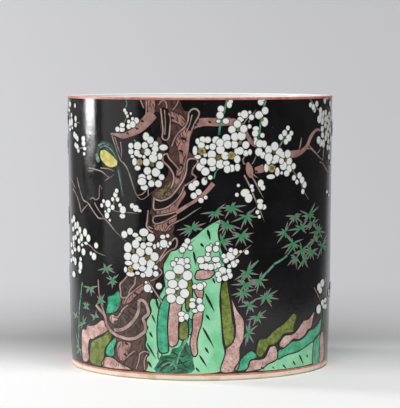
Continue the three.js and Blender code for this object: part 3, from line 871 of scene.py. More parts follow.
# Dark ticks across the bark as (arc, height, length): their reach to a side as a share of the length,
# and how far their ends rise and fall, in millimetres
TICK_REACH = 0.6
TICK_RISE = 0.7
TICK_FALL = 0.4
BARK_TICKS = [
    (-38, 167.4, 2.0), (-42, 162.6, 1.8), (-49, 159.4, 1.6), (6.4, 167, 1.8), (20, 170, 2.6),
    (-2.6, 165.2, 1.8), (-17.6, 169.6, 2.2), (-10.4, 156.4, 2.4), (-12, 148.4, 2.6),
    (-11.6, 139.4, 2.4), (-14, 132, 2.2), (-20.6, 101.4, 1.8), (-52.6, 15, 2.8), (-51.4, 22.4, 3.0),
    (-45.1, 46, 2.8), (-43.3, 55.6, 3.0), (-31, 99.4, 2.0), (73.6, 148.6, 1.8), (-57, 43, 2.6),
    (37.6, 135, 1.6), (-47, 63, 2.4), (-52, 58, 2.2),
]

# Rocks: tall rock in the middle, low rocks to the left and right, and more round the back
PALE_ROCKS = [
    [(13.6, 104.4), (8.8, 103), (2, 98.6), (-2, 95), (-8.9, 90.2), (-12, 88.8), (-15.1, 85.4),
        (-20.1, 83.4), (-24, 76), (-24, 69), (-23.6, 62), (-26, 57), (-28.9, 53), (-32, 53.4),
        (-33.9, 50), (-32.6, 45), (-35.1, 40.4), (-36.7, 37.1), (-35.1, 34), (-37, 30.9), (-36.4, 26.5),
        (-37.3, 22.1), (-34.5, 17.1), (-37, 13.4), (-37.4, 5.4), (12, 5.4), (16.5, 17), (15, 26),
        (14, 40), (13, 52), (14, 64), (16, 76), (13.4, 87.8), (11.8, 96.5)],
    [(38, 5.2), (44, 9), (52, 10.6), (60, 14.4), (72, 15.2), (84, 18.2), (92.4, 20.2), (92.6, 10),
        (91.6, 5.2)],
    [(150, 6), (156, 30), (170, 54), (180, 40), (192, 28), (200, 6)],
    [(-28.2, 19.4), (-26.4, 20), (-25.6, 15), (-28, 14)],
]
EMERALD_ROCKS = [
    [(-26, 50), (-22.2, 55.6), (-20, 50.4), (-21.6, 36), (-21, 24), (-21.4, 18.6), (-27.4, 18.8),
        (-28.8, 30), (-28, 42)],
    [(-7.2, 41), (-5.4, 40), (-5.2, 32), (-7.4, 30.6)],
    [(23, 6.4), (25.5, 11), (28, 14.4), (31, 17), (35, 19), (38.4, 16.6), (39, 14), (34, 12.6),
        (32.6, 8), (30, 6.2)],
    [(55.4, 12), (56, 18), (60, 18.6), (64, 21), (69, 23), (75, 22.8), (82, 25.2), (86, 28), (92, 29),
        (99, 31.4), (104, 34.4), (103.4, 27), (100, 23.4), (95, 21.6), (92, 20.4), (84, 18.4),
        (74, 15.4), (66, 14.6), (60, 13.4)],
    [(92.4, 5.4), (93, 20), (99, 24), (102.4, 24), (102.4, 5.4)],
    [(-69, 41.4), (-67.4, 48), (-67, 52.4), (-62, 54), (-57.4, 57), (-55.4, 51), (-57, 46),
        (-60.6, 42.6), (-64, 41.6)],
    [(-70.4, 14.6), (-69, 19), (-66.4, 22), (-62, 25.4), (-60, 26), (-60.6, 22), (-62.4, 19),
        (-62, 14.6), (-66, 12.6)],
    [(201, 6), (194, 28), (206, 40), (220, 26), (226, 6)],
]
BUSH = [
    (-30, 5.6), (-28, 12), (-26.4, 16), (-20, 17), (-18.4, 21), (-14, 22), (-10.8, 27), (-7.6, 24),
    (-5.6, 19), (-4.6, 13), (-5.6, 5.6),
]
MOSS_ROCKS = [
    [(13.4, 58), (14.6, 63.6), (17.6, 64.8), (18.8, 58), (20.3, 50), (21.4, 40), (22.9, 34), (22.3, 26),
        (17.5, 22), (15.2, 30), (14.2, 40), (13.8, 50)],
    [(-13.2, 37.6), (-8.2, 38.6), (-7.8, 28.4), (-13.4, 27.4)],
    [(-8.4, 66), (-5.4, 66), (-4.8, 58), (-5.4, 52), (-7.6, 45), (-9.4, 48), (-9.2, 58)],
    [(38.2, 17), (40.5, 26), (46, 26.6), (52, 31.6), (58, 34.2), (64, 38), (68.4, 41.4), (72, 39),
        (69.4, 33), (69, 29), (64, 28.6), (60, 28), (57, 25), (52, 21.6), (48, 21.6), (45.4, 17.6),
        (42, 14.2)],
    [(-89, 9), (-88, 15), (-86, 20.4), (-80, 23.4), (-72, 26.4), (-68, 29.6), (-64, 27), (-66.4, 22.4),
        (-70.6, 18), (-72, 13), (-74, 6), (-86, 6)],
    [(-197, 6), (-192, 24), (-206, 34), (-222, 20), (-226, 6)],
]
ROSE_ROCKS = [
    [(18.4, 64), (21, 54), (25, 45.4), (29.3, 39), (29.3, 27), (26.8, 21.5), (26.8, 15), (24.8, 6.6),
        (14, 6), (16.6, 17), (17.4, 21.2), (20.6, 23.6), (23, 28), (23.6, 34), (22, 44), (20.2, 54)],
    [(-19.4, 51), (-12, 50.4), (-14, 38), (-14.4, 26), (-17, 22.6), (-20.4, 23), (-21.4, 34)],
    [(-4.8, 42), (-3, 45), (1.6, 46.6), (1.2, 38), (-1, 31), (-2, 24), (-1.6, 18), (-4.4, 16),
        (-6.6, 24), (-5, 34)],
    [(-3, 66.4), (3, 66), (7.4, 67.6), (9.4, 71.4), (4, 72.4), (-2, 71.6)],
    [(-3.8, 60.6), (2, 61), (1.6, 54), (-2, 55)],
    [(31, 5.4), (33, 8.4), (34.4, 12.6), (39.4, 13), (45, 14), (49, 20.6), (53.6, 20.6), (55.2, 12.6),
        (48, 9.6), (42, 6.4)],
    [(56.2, 21.6), (60.4, 27), (64, 27.4), (69, 27.8), (74, 31), (79, 35.4), (85, 36), (92.6, 40.4),
        (90.6, 35), (89, 30), (84.4, 28.6), (81, 25.6), (75, 23.4), (69, 24), (65, 21.4), (60, 18.9)],
    [(103.2, 5.4), (103.6, 23), (110, 24.2), (112.4, 12), (111.4, 5.4)],
    [(-99.4, 7.4), (-99.4, 26.4), (-92.5, 28.4), (-91, 31.4), (-86, 31.6), (-80, 33), (-74, 36.4),
        (-71, 36), (-70, 33), (-67.4, 30.4), (-72, 27.4), (-80, 24.4), (-84, 22.4), (-88, 22),
        (-90.4, 16), (-90.4, 8)],
    [(-66.4, 38), (-64, 41), (-60, 40.4), (-58, 38), (-60, 33.4), (-63, 34.4)],
    [(-74, 5.6), (-71, 12), (-64, 12.4), (-58, 9.6), (-50, 7), (-48, 5.4)],
    [(-150, 6), (-156, 22), (-172, 34), (-190, 24), (-196, 6)],
]
# Black brush strokes on the pale rock, from the broad end to the point
STROKES = [
    ((-4.2, 84.2), (-2.6, 75.2), 1.5), ((-23.6, 64.6), (-22.8, 59.8), 1.2),
    ((-29.2, 53), (-27.4, 46), 1.8), ((-32.2, 42.6), (-29.6, 36.8), 1.2),
    ((-34, 31.2), (-31.8, 27.6), 1.5), ((-36, 23.8), (-29.6, 13.8), 1.3),
    ((-35.6, 12), (-32.6, 8), 1.8), ((-2.8, 8.8), (0, 5.8), 1.3), ((-0.4, 17), (4.6, 9.2), 1.4),
    ((4.8, 98.2), (6.8, 92), 1.9), ((3.4, 57), (9.6, 45), 1.7), ((4, 43.2), (6.6, 39.6), 1.5),
    ((1.8, 35), (9.3, 21.8), 1.5), ((3.4, 22), (5.8, 18), 1.5), ((8.2, 67), (9.9, 63.2), 1.4),
    ((0.4, 89.4), (2.6, 87), 1.6), ((5.8, 94.6), (6.6, 91.6), 0.9), ((75.4, 13.2), (80.8, 6.2), 1.5),
    ((69.2, 9.6), (72.2, 6.4), 1.3), ((84, 12), (85.8, 10.4), 1.6), ((59.8, 8.2), (63.4, 5), 1.1),
    ((42, 8), (45.2, 6), 1.0), ((51, 7.2), (53, 6), 0.9), ((-19, 78.4), (-16, 74.4), 1.0),
    ((160, 30), (166, 20), 1.6), ((172, 44), (177, 34), 1.6), ((180, 24), (186, 14), 1.5),
]

# Petals and buds as (arc, height, radius) or (arc, height, half width, half height)
PETALS_FRONT = [
    (-51.2, 174.5, 1.1), (-50.1, 172.7, 1.1), (-46.5, 172.4, 0.8), (-49, 170.7, 1.0), (-45.1, 169, 1.1),
    (-48.1, 167.2, 1.2), (-42.5, 167.9, 1.9), (-48.1, 164, 1.6), (-45.1, 165.4, 2.0),
    (-53.1, 164.9, 1.9, 1.4), (-53.5, 162.1, 2.1, 1.6), (-57.1, 162.1, 1.6), (-35.5, 157.8, 2.1, 2.5),
    (-32.6, 155.5, 2.2), (-46.6, 151.6, 1.8), (-46.6, 147.9, 1.8), (-41.7, 151.6, 2.5),
    (-42.2, 147.1, 2.0), (-36.4, 152, 2.1), (-34.7, 147.8, 2.2), (-45.6, 144.8, 1.3, 0.9),
    (-40.1, 145.3, 1.8, 1.0), (-37, 144.7, 1.1), (-43.9, 141.4, 1.6, 2.3), (-41.7, 137.4, 2.0, 1.5),
    (-35.5, 141.2, 2.3), (-31.7, 152, 1.4, 0.9), (-28.9, 153, 1.7), (-29.2, 150, 2.1),
    (-30, 147.1, 1.8, 1.4), (-26.1, 145.1, 1.6, 2.0), (-23.7, 150.9, 2.7, 1.8), (-26.2, 139.5, 2.4),
    (-30.6, 144, 2.7), (-34.7, 135.7, 2.4), (-28.9, 134.9, 2.7), (-25, 131.8, 1.8),
    (-38.5, 131.5, 2.4, 2.0), (-33.5, 131.6, 1.6), (-38.6, 128.7, 3.0, 2.3), (-37, 125, 2.4, 1.8),
    (-32, 127.6, 2.1), (-27.2, 127.6, 2.2), (-5, 125.9, 2.3), (-2.6, 128, 1.9), (-0.9, 122.4, 1.8),
    (-4, 120.1, 1.9), (0.6, 117.1, 1.6), (3.6, 119, 1.2), (-58.1, 122.1, 1.4), (-59.4, 119.5, 1.7),
    (-61.7, 116.5, 1.3), (-57.5, 116.5, 1.4), (-55.4, 112.8, 1.3), (-53.2, 109.9, 2.3),
    (-53.6, 105.9, 2.1, 1.5), (-46, 112.8, 1.6), (-43.2, 111.2, 2.1), (-40.6, 109.8, 1.4, 0.9),
    (-61.7, 111.2, 1.6), (-66, 113.4, 2.3), (-70, 114.9, 1.2), (-71.8, 112, 1.3), (-65, 109.2, 1.5),
    (-66.8, 105.7, 1.9), (-68.4, 108, 0.9), (-64.4, 102.7, 0.9), (-52.2, 94, 2.2), (-47.7, 96.2, 2.1),
    (-43.7, 94, 2.1, 1.3), (-41.4, 91.5, 2.3, 1.5), (-37.5, 95.9, 3.1, 2.4), (-32.5, 92.6, 2.5),
    (-24.4, 93.4, 1.7, 1.3), (-21, 94.1, 1.1), (-49.5, 85.6, 2.8, 3.1), (-43.5, 88.1, 2.6),
    (-37.9, 87.3, 2.0), (-33.6, 88.4, 2.2, 1.3), (-33.9, 84, 2.5), (-40.1, 83.1, 2.9),
    (-49.6, 79.8, 2.8, 2.4), (-43.9, 78.7, 2.9), (-38.3, 77.1, 2.7), (-30, 80.4, 2.7),
    (-32.8, 75.6, 2.7), (-49, 75.5, 2.8, 1.4), (-43.1, 73.6, 2.6, 2.1), (-38.6, 72.4, 2.4, 1.7),
    (-29.2, 73.5, 1.4), (-34.4, 70.3, 3.0), (-29.2, 69.3, 1.8), (-38.3, 68.1, 1.8, 1.4),
    (-47.5, 68.4, 3.0, 1.4), (-51.3, 71.2, 1.2, 1.8), (-42.3, 69.3, 1.7, 1.1), (-23.8, 89, 2.5),
    (-27.5, 88.1, 1.0, 1.6), (-19.5, 89.3, 0.9, 1.2), (-25.6, 86, 0.7), (-20.9, 87.3, 0.8),
    (-30, 87, 1.0, 1.6), (-35.1, 59.8, 2.5), (-36, 63.5, 0.9), (-32.3, 57.8, 0.8), (-27.1, 61.5, 2.0),
    (-17.3, 76, 1.7), (-15.3, 78.9, 1.1), (-8.4, 78.3, 1.7), (-8.1, 74.6, 1.9, 1.4), (-12.2, 77, 2.7),
    (-19.5, 68.5, 3.3, 2.9), (-13.8, 72.6, 3.4, 2.9), (-8.1, 68.7, 3.0), (-17.8, 63.1, 3.0, 2.6),
    (-11.1, 63.1, 2.9, 3.1), (-15, 60.3, 1.4, 1.0), (-19.4, 58.3, 3.1, 2.3), (-10, 57.1, 2.8),
    (-18.8, 53.7, 2.9, 2.7), (-12.9, 52.8, 2.7), (-9.8, 87.8, 1.9), (-8.1, 90.9, 1.7),
    (-6.2, 86.6, 1.4), (-11.5, 85.3, 1.8), (-12, 43.7, 2.2, 1.5), (-12.1, 40.4, 1.8),
    (-8.8, 42, 1.5, 1.9), (-3.4, 61.5, 1.5), (0, 61.5, 2.1), (2.4, 62.8, 1.6), (-4.8, 52.8, 1.8, 1.3),
    (-0.4, 52.4, 1.8), (-5, 49.5, 2.0), (0.5, 47.8, 2.3), (-3.3, 45.8, 1.7, 1.2), (19.7, 180.3, 1.4),
    (18.8, 178.3, 1.6, 2.0), (13.4, 175.6, 2.0), (12.8, 171.6, 2.2), (11.8, 167.8, 1.3, 1.0),
    (16.6, 167.8, 2.0, 1.7), (25.6, 172.1, 1.1), (28.9, 172.1, 2.4), (32.5, 173.3, 1.0),
    (33.8, 170.1, 1.7), (26.3, 168.9, 2.0, 1.6), (32.4, 164.3, 1.3), (24.1, 165.9, 2.3),
    (28.4, 162.8, 2.4), (20.6, 162.4, 2.3), (22.6, 157.8, 2.5), (27, 158.3, 2.7),
    (36.9, 162.8, 2.1, 1.4), (36.4, 159.8, 2.1), (41.6, 158.4, 1.5), (36.6, 156.5, 1.1),
    (39.1, 171.5, 2.7, 2.4), (43.4, 174.3, 2.3), (43.1, 167, 2.3, 2.8), (40.3, 179.9, 2.0),
    (41.6, 182.4, 2.0), (1.6, 155.8, 2.1), (5, 155.9, 1.9), (0.8, 152.3, 2.1), (10.3, 155.6, 2.3),
    (16.9, 156.8, 2.5), (12.8, 154, 2.4), (8.1, 151.5, 2.0), (17.8, 152.8, 2.4), (22.2, 152.8, 2.3),
    (13.1, 149.6, 2.6), (4.7, 151.2, 1.3), (-3.2, 149, 1.4, 2.8), (-1.6, 155, 1.2, 1.8),
    (7.5, 146.5, 2.6), (3.4, 146.2, 1.2), (-1.4, 145, 2.0, 1.2), (2.2, 142.1, 2.1), (7.5, 141.8, 2.7),
    (13, 140.3, 2.7), (16.3, 145.6, 2.4), (23.8, 148.4, 1.5, 2.0), (24.1, 143.4, 2.0, 2.4),
    (16.9, 140.9, 2.1, 1.5), (0.3, 138.6, 2.5), (8.1, 137.8, 1.9), (3.4, 135.6, 2.5),
    (17.5, 137.1, 2.0, 2.4), (24.3, 138.1, 1.7, 2.3), (20.5, 137.6, 2.2), (6.6, 131.8, 1.4),
    (2.8, 129.3, 1.7, 2.3), (26.1, 148.7, 2.3), (29.9, 152.4, 2.3), (30, 147.1, 1.8),
    (32.8, 147.8, 1.3, 1.8), (37.5, 154, 2.0), (42.8, 152.8, 1.9, 2.2), (39.7, 153.1, 2.6, 2.3),
    (39.1, 147.8, 2.5), (42.2, 145.6, 2.0), (46.3, 149, 2.5), (50.9, 151.2, 2.7), (46.3, 144, 2.8),
    (54.7, 147.1, 2.7), (57.5, 145.3, 2.1), (52.2, 143.1, 2.5), (61.6, 146, 2.5), (56.3, 141.5, 1.9),
    (63, 141.2, 2.4), (58.1, 138.4, 2.7), (63.1, 136.3, 2.3), (60.9, 133.4, 2.2, 1.9),
    (66.9, 137.8, 1.9), (44.7, 137.4, 1.6, 2.6), (48.1, 131.6, 3.0, 1.4), (53.1, 134.6, 1.7, 2.7),
    (50.4, 141, 1.8, 1.1), (46.3, 140.9, 1.4), (40.6, 127.4, 2.0, 2.4), (42.2, 124.6, 1.6),
    (34.1, 125.6, 1.3), (34.7, 123.3, 1.1), (25, 126.5, 1.0), (29.7, 121.5, 2.9, 2.5),
    (32, 118.2, 2.4, 2.8), (24, 120.5, 1.2), (40, 115.9, 2.2, 1.4), (40.3, 112.8, 2.0),
    (43.1, 112.1, 1.6), (38.3, 109, 1.3), (39.7, 105.9, 1.1), (61.6, 162.8, 1.5), (58.8, 159.6, 1.9),
    (55.9, 157.1, 1.8), (64.7, 159.3, 1.6), (62.4, 156.4, 2.2), (60, 154, 1.7), (5.6, 85.9, 1.9),
    (10.3, 85.9, 1.9), (11.3, 89.3, 1.2), (6.9, 88, 0.9), (5.1, 82.4, 1.2), (0.4, 78.6, 2.4, 2.0),
    (10.3, 79, 2.4, 1.7), (4.6, 79.6, 2.4, 1.8), (1.3, 74.8, 1.8), (4, 74.5, 2.0), (6.9, 74.2, 2.0),
    (9.4, 74.6, 1.8), (11.9, 75.4, 1.6), (15.3, 81.2, 1.4), (20.1, 84.9, 1.4), (23.1, 83.6, 1.7, 2.1),
    (20, 81.2, 2.8), (16.9, 78.4, 1.7), (22.2, 75.9, 2.1), (19.1, 74.6, 1.2), (24.4, 77.6, 1.2),
    (14.7, 71.5, 2.4), (18.8, 71.5, 1.6), (11.8, 69.3, 1.8), (12.5, 66.2, 1.6), (16.4, 67, 1.9),
    (19.4, 68.4, 1.8), (26.6, 83.7, 0.9), (30.8, 83.3, 1.4), (-117.5, 177.4, 3.2, 1.8),
    (-120, 173.2, 3.0, 1.0), (-113.8, 170, 1.9, 1.4), (-118.8, 164.6, 3.2, 2.5), (-113.1, 165.6, 2.6),
    (-111.6, 161.6, 1.8, 1.0), (-118, 160.4, 2.6, 1.2), (-104.5, 167.9, 1.9), (-104.7, 163.7, 2.2, 1.4),
    (-107, 157.2, 2.3, 2.0), (-103.6, 156, 2.3, 1.8), (-101.2, 154.8, 1.7), (-105, 150.4, 2.1, 1.6),
    (-102, 149.4, 2.2, 1.6), (-100, 146.8, 1.8, 1.2), (-92.2, 154.9, 2.3, 1.7),
    (-91.9, 151.9, 2.4, 1.7), (-90.6, 148.5, 2.1, 1.0), (-91.3, 145, 1.5, 1.0),
    (-110.6, 100.9, 2.6, 2.2), (-115, 99, 2.6, 1.5), (-106.9, 96.5, 2.3), (-103.2, 97.1, 2.3),
    (-99.3, 94, 2.2), (-91.4, 93, 2.5), (-86.9, 89.5, 2.3), (-96.6, 89.3, 2.4),
    (-103.6, 91.6, 2.2, 1.5), (-107.5, 88.6, 2.6, 1.6), (-112.6, 93.8, 2.6, 1.6),
    (-112, 87.4, 2.4, 1.8), (-77.8, 85.3, 2.0, 1.8), (-80.6, 77.9, 2.4, 2.2), (-84, 79.6, 1.3),
    (-93.8, 79.9, 2.6, 2.2), (-90, 85.9, 2.2, 0.9), (-95.4, 84.4, 1.8, 0.9), (-101.3, 81.4, 2.4, 2.0),
    (-100.6, 86.6, 2.3, 1.7), (-108.8, 80.4, 2.8, 1.4), (-112, 83.6, 2.0, 2.2), (-118, 82.8, 2.6, 1.6),
    (-115.6, 78, 3.4, 1.6), (-113, 73.7, 2.6, 1.6), (-119.4, 72.1, 3.0, 1.5), (-108.1, 72.3, 2.2, 2.5),
    (-98.1, 74.8, 1.8, 1.3), (-99, 70.3, 2.8, 2.9), (-100, 66.5, 2.3, 1.4), (-112.5, 63.4, 3.6, 2.0),
    (83.8, 177.4, 1.6), (87.2, 175.9, 2.0), (89.1, 174, 1.5), (91.9, 177.9, 1.9), (97.5, 173.4, 2.2),
    (97.5, 170.4, 2.2), (95.6, 167.8, 2.8, 2.5), (102.5, 170.9, 2.3), (100.6, 166.5, 2.5),
    (106.6, 172, 2.6, 1.8), (110, 167.8, 2.8, 2.4), (105.6, 167.8, 1.9), (105, 180.3, 2.2, 2.4),
    (110, 181.6, 2.0, 1.0), (100.9, 161.2, 2.5, 2.0), (106.3, 163.7, 2.4, 2.0),
    (111.9, 161.8, 2.5, 2.1), (115, 164.8, 2.6), (115.6, 170.4, 2.4, 2.0), (108.8, 158.4, 2.6, 1.8),
    (101.4, 157.1, 2.5, 1.9), (95, 154, 2.6, 2.4), (98.6, 152, 2.3), (103.1, 151.5, 2.6),
    (107.5, 155, 2.5, 2.0), (113, 156.5, 2.6, 1.8), (113.8, 152.6, 2.8, 1.6), (112.5, 148.6, 2.5, 1.9),
    (117.8, 148, 2.6, 1.6), (116.3, 142.1, 2.6, 1.7), (122, 137.8, 2.6, 1.2), (118, 177.6, 3.0, 1.9),
    (122, 174.6, 2.6, 1.6), (118.6, 160, 2.6, 2.0), (121.6, 153.6, 2.6, 2.0), (120.6, 167.6, 2.6, 2.0),
    (111.9, 118.7, 2.4, 1.0), (117.5, 116.2, 2.0, 1.0), (67.5, 130.3, 1.7), (70.3, 127.4, 1.5),
    (72.8, 131.5, 2.0), (75.3, 128.4, 2.2), (78.1, 125.3, 2.1), (76.4, 120.9, 1.6),
    (104.4, 58.2, 3.4, 2.5), (98.6, 56, 3.0, 2.5), (100.6, 53.6, 2.8, 1.9), (99, 41.2, 3.4, 2.9),
    (105.6, 44.8, 2.8, 2.0), (111.3, 45.9, 2.6, 1.6), (112.5, 41.5, 2.8, 1.6), (108, 42.1, 2.4, 1.4),
    (123, 50, 2.2, 2.4), (-105.2, 176.6, 1.4), (56.6, 133.8, 1.0),
]
# Flower middles as (arc, height, radius) and which enamel they are
MIDDLES = [
    (-31.4, 139.7, 1.6, 0), (-37.8, 148.4, 1.7, 0), (-40.3, 141.2, 2.5, 1), (-30.4, 130.2, 1.2, 0),
    (-45.4, 83.7, 1.7, 0), (-35.1, 79.3, 2.0, 0), (-47.4, 71.6, 2.6, 1), (-14.2, 68.1, 1.9, 0),
    (-14.4, 57.6, 1.6, 0), (24.7, 162.4, 1.5, 2), (1.2, 148.6, 3.0, 1), (11.9, 144.6, 2.1, 0),
    (20.2, 145.8, 3.0, 1), (50.3, 147.2, 1.1, 0), (48.8, 137.0, 3.2, 1), (48.6, 137.6, 1.5, 0),
    (26, 153.8, 1.4, 1), (41, 168.6, 1.6, 2), (-109, 83.8, 2.4, 1), (106.4, 160.4, 1.2, 0),
    (111, 154.8, 1.1, 0), (3.8, 131, 1.1, 2), (-37.4, 91.4, 1.6, 2), (15.6, 69.2, 1.0, 0),
    (-99, 90.6, 1.3, 2), (60, 142.2, 1.1, 0), (104, 169.4, 1.1, 0), (-2.6, 50.6, 0.9, 0),
    (1.0, 148.4, 1.2, 0),
]
# Green stalks of buds
STALKS = [
    (1.3, [(17.6, 182), (16, 176), (14, 169), (12.6, 163), (12.2, 159)]),
    (1.3, [(44, 181), (42, 175), (40.6, 168), (39.6, 161), (38.6, 155)]),
    (0.9, [(55, 151), (58, 155), (60.6, 158.6)]),
    (1.1, [(80, 184), (85, 180), (89, 176)]),
    (0.9, [(9, 131), (10, 135), (12, 137.6)]),
    (0.9, [(-52.4, 173.4), (-49.4, 178), (-50.4, 181)]),
    (0.9, [(73.4, 132), (76, 127), (78.6, 123)]),
    (0.9, [(12.6, 84), (13.4, 80), (15, 76)]),
    (0.8, [(-44.4, 155.6), (-42.8, 154), (-42.4, 152)]),
    (0.9, [(111, 28), (108, 38), (106, 44)]),
]
# Blossoms round the back as (arc, height, radius), and the shares of that radius of their parts
BACK_SEED = 7
BACK_PETALS = 5
BACK_PETAL = 0.27
BACK_SPREAD = 0.36
BACK_MIDDLE = 0.17
BACK_BUDS = 2
BACK_BUD = 0.15
BACK_BUD_SPREAD = 0.95
CLUSTERS_BACK = [
    (-168, 140, 10), (-158, 132, 9), (-176, 130, 9), (-165, 122, 8), (-222, 104, 10), (-212, 98, 9),
    (-232, 96, 9), (-220, 90, 8), (210, 146, 10), (200, 140, 9), (220, 138, 9), (208, 132, 8),
    (-140, 150, 6), (150, 158, 6), (260, 92, 7), (-184, 128, 7), (184, 150, 7), (-246, 74, 7),
    (-134, 100, 7), (135, 160, 7), (134, 52, 6), (-132, 168, 6),
]

# Bamboo leaf stars: the middle, then the leaf tips
LEAF_SEED = 9
SHORT_LEAF_TURN = (16, 34)
SHORT_LEAF_REACH = (0.5, 0.8)
BAMBOO = [
    [(10, 109.6), (0, 108.4), (16.6, 115), (6, 102.8), (15.8, 107), (12.4, 105)],
    [(20.5, 112.6), (12.6, 112), (16, 105), (23.8, 106), (31, 113.6), (28.6, 109), (23.4, 116)],
    [(30.6, 106.6), (20, 102.8), (26.4, 97.4), (35.6, 98.8), (40, 105.6), (37.6, 112.4), (33, 110)],
    [(17.2, 101.6), (9, 103), (12, 96.8), (22, 95), (28, 98), (18.4, 104.4), (14, 95)],
    [(27.2, 94.4), (18, 91.6), (23, 87), (30.6, 87), (35.6, 89.2), (36, 95.6), (32, 99), (20, 97)],
    [(14, 91), (7, 88), (11, 83.6), (18, 84), (22, 88), (23, 93), (17, 98)],
    [(-5, 99.4), (-15.6, 97.8), (-13.6, 94.6), (-8, 93), (2.4, 98), (4, 102.6), (-0.6, 103.6)],
    [(31, 70), (22.4, 65.4), (28, 63.6), (40, 68.4), (34, 62.4), (39.4, 77.4), (26, 72)],
    [(40, 65), (32, 65), (47, 64.6), (38, 56), (44.6, 59), (30.6, 63), (45, 70)],
    [(30, 62.6), (20, 62.4), (26, 57), (36, 60), (40.4, 62), (25, 66)],
    [(29, 57.6), (20.4, 55.6), (25, 50.4), (28, 50), (38, 59), (35, 54), (24, 60)],
    [(45, 53.4), (36, 52.4), (41, 48), (50, 46.6), (55.6, 51.6), (54.6, 57.6), (46, 58)],
    [(33, 49), (25, 48), (30.8, 42), (36.6, 43.6), (39.4, 47), (38.4, 53), (29, 52)],
    [(39, 41), (31, 39), (35.6, 35), (41.6, 36.4), (46, 40), (45.6, 45)],
    [(32, 31), (30.4, 22), (36.6, 23.6), (37.4, 30), (39.4, 35.6), (34, 40)],
    [(68.6, 105.2), (60, 105.6), (63, 98.6), (72, 99), (77, 100), (76, 106.4), (64, 103)],
    [(84, 105), (73.4, 108.6), (78.4, 100), (86, 101), (92.6, 102.4), (97, 110), (75, 104.6)],
    [(75, 97), (61.6, 96), (66, 92), (81, 93), (83, 98.6), (88, 98.4), (75, 101.6)],
    [(60, 95), (51, 95.6), (53.4, 88), (65, 88.6), (62.6, 102), (57, 97.6)],
    [(88, 99), (80, 95.6), (97, 101.6), (94.4, 95), (82, 99)],
    [(97, 93.4), (89, 99), (91, 87.6), (84, 93), (110, 91.6), (103, 96), (99, 98)],
    [(66.6, 87.4), (57, 84.6), (60, 80.6), (72, 84), (77.6, 89.6), (63, 93), (70, 80)],
    [(76, 82.6), (70, 77), (78.6, 76), (84.4, 79.4), (87, 86.6), (67, 80), (74, 88)],
    [(87, 81), (79, 78), (82, 75.4), (90.6, 74.4), (97.4, 77), (97, 82), (81, 85)],
    [(69.6, 78.4), (62.4, 73), (64.6, 80), (71, 70.6), (75, 73.4)],
    [(78, 76), (72, 69.6), (83.4, 70), (78.6, 81), (84, 77)],
    [(91, 88), (85, 84), (100, 90.6), (98, 86), (82, 86), (92, 94)],
    [(103, 83), (95, 85.4), (95.4, 75), (114, 81.6), (117, 87.6), (112, 79)],
    [(-68, 71), (-76.6, 69), (-66, 67), (-62.4, 74), (-60, 68.4), (-71, 74)],
    [(-62.4, 63.4), (-68.4, 65), (-67.4, 60), (-63, 57.6), (-58, 62), (-57, 68)],
    [(-86, 56.6), (-95.4, 57), (-91, 52.4), (-80, 53.4), (-76.4, 58.6), (-84, 51)],
    [(-74, 49), (-79, 46), (-72.6, 43), (-70, 54), (-69, 48.4), (-78, 52)],
    [(-80, 38), (-86.4, 39), (-84, 35), (-76, 38), (-79, 42.4)],
    [(-91, 44), (-96.4, 45.8), (-96, 42), (-87, 41.6), (-86.6, 46)],
    [(-97, 31.4), (-103, 32), (-107, 28.6), (-92, 33), (-91, 37)],
    [(-109, 36), (-119, 37), (-113.6, 33), (-105, 34.8), (-106, 39)],
    [(-105, 14), (-114, 15), (-100.4, 13), (-112, 9), (-101, 9.4), (-108, 20), (-113, 26)],
    [(-140, 60), (-150, 62), (-146, 54), (-134, 55), (-130, 62), (-139, 68)],
    [(-152, 70), (-162, 72), (-158, 64), (-146, 65), (-143, 73), (-152, 78)],
    [(240, 60), (230, 62), (234, 53), (246, 54), (250, 62), (241, 69)],
    [(228, 72), (218, 74), (222, 65), (234, 66), (238, 74), (229, 81)],
    [(252, 48), (243, 50), (247, 41), (258, 43), (262, 51)],
]
BAMBOO_STEMS = [
    (1.3, [(42, 66.4), (46.6, 70.4), (50.8, 74.2)]),
    (1.3, [(51, 74.6), (57, 77), (62.4, 80)]),
    (1.0, [(62.6, 80.4), (66, 83.6), (70, 88)]),
    (1.2, [(32, 72.4), (35.6, 75), (39.4, 77.6)]),
    (1.7, [(-96, 59.4), (-98.4, 54), (-99.8, 48.4)]),
    (1.7, [(-100, 47.8), (-102.2, 43), (-103.2, 37)]),
    (1.5, [(-103.4, 36.4), (-104.4, 28), (-105, 21)]),
    (1.2, [(-8, 28), (-13, 19), (-15.6, 10), (-16, 6)]),
    (0.9, [(-26, 9), (-20, 12), (-15, 8)]),
    (1.6, [(-136, 6), (-138, 30), (-140, 58)]),
    (1.6, [(-144, 40), (-150, 54), (-152, 68)]),
    (1.6, [(244, 6), (243, 30), (240, 58)]),
    (1.4, [(236, 40), (231, 56), (228, 70)]),
    (0.9, [(-9.6, 27), (-12.6, 21)]),
    (0.9, [(-24, 6.4), (-19, 10.6), (-17, 14)]),
]
BUSH_LINES = [
    [(-29, 8), (-23, 13), (-18, 12)], [(-27, 6), (-22, 10.4), (-13, 9.6)],
    [(-19, 19), (-12, 16), (-7, 19)], [(-14, 14), (-9, 9), (-6.4, 8)], [(-16, 11), (-11, 12), (-6, 14)],
    [(-24, 15.6), (-17, 15), (-14, 17.6)], [(-11, 25), (-9.6, 20), (-6.4, 17)],
    [(-20, 6.4), (-15, 8.4), (-8, 6.6)],
]

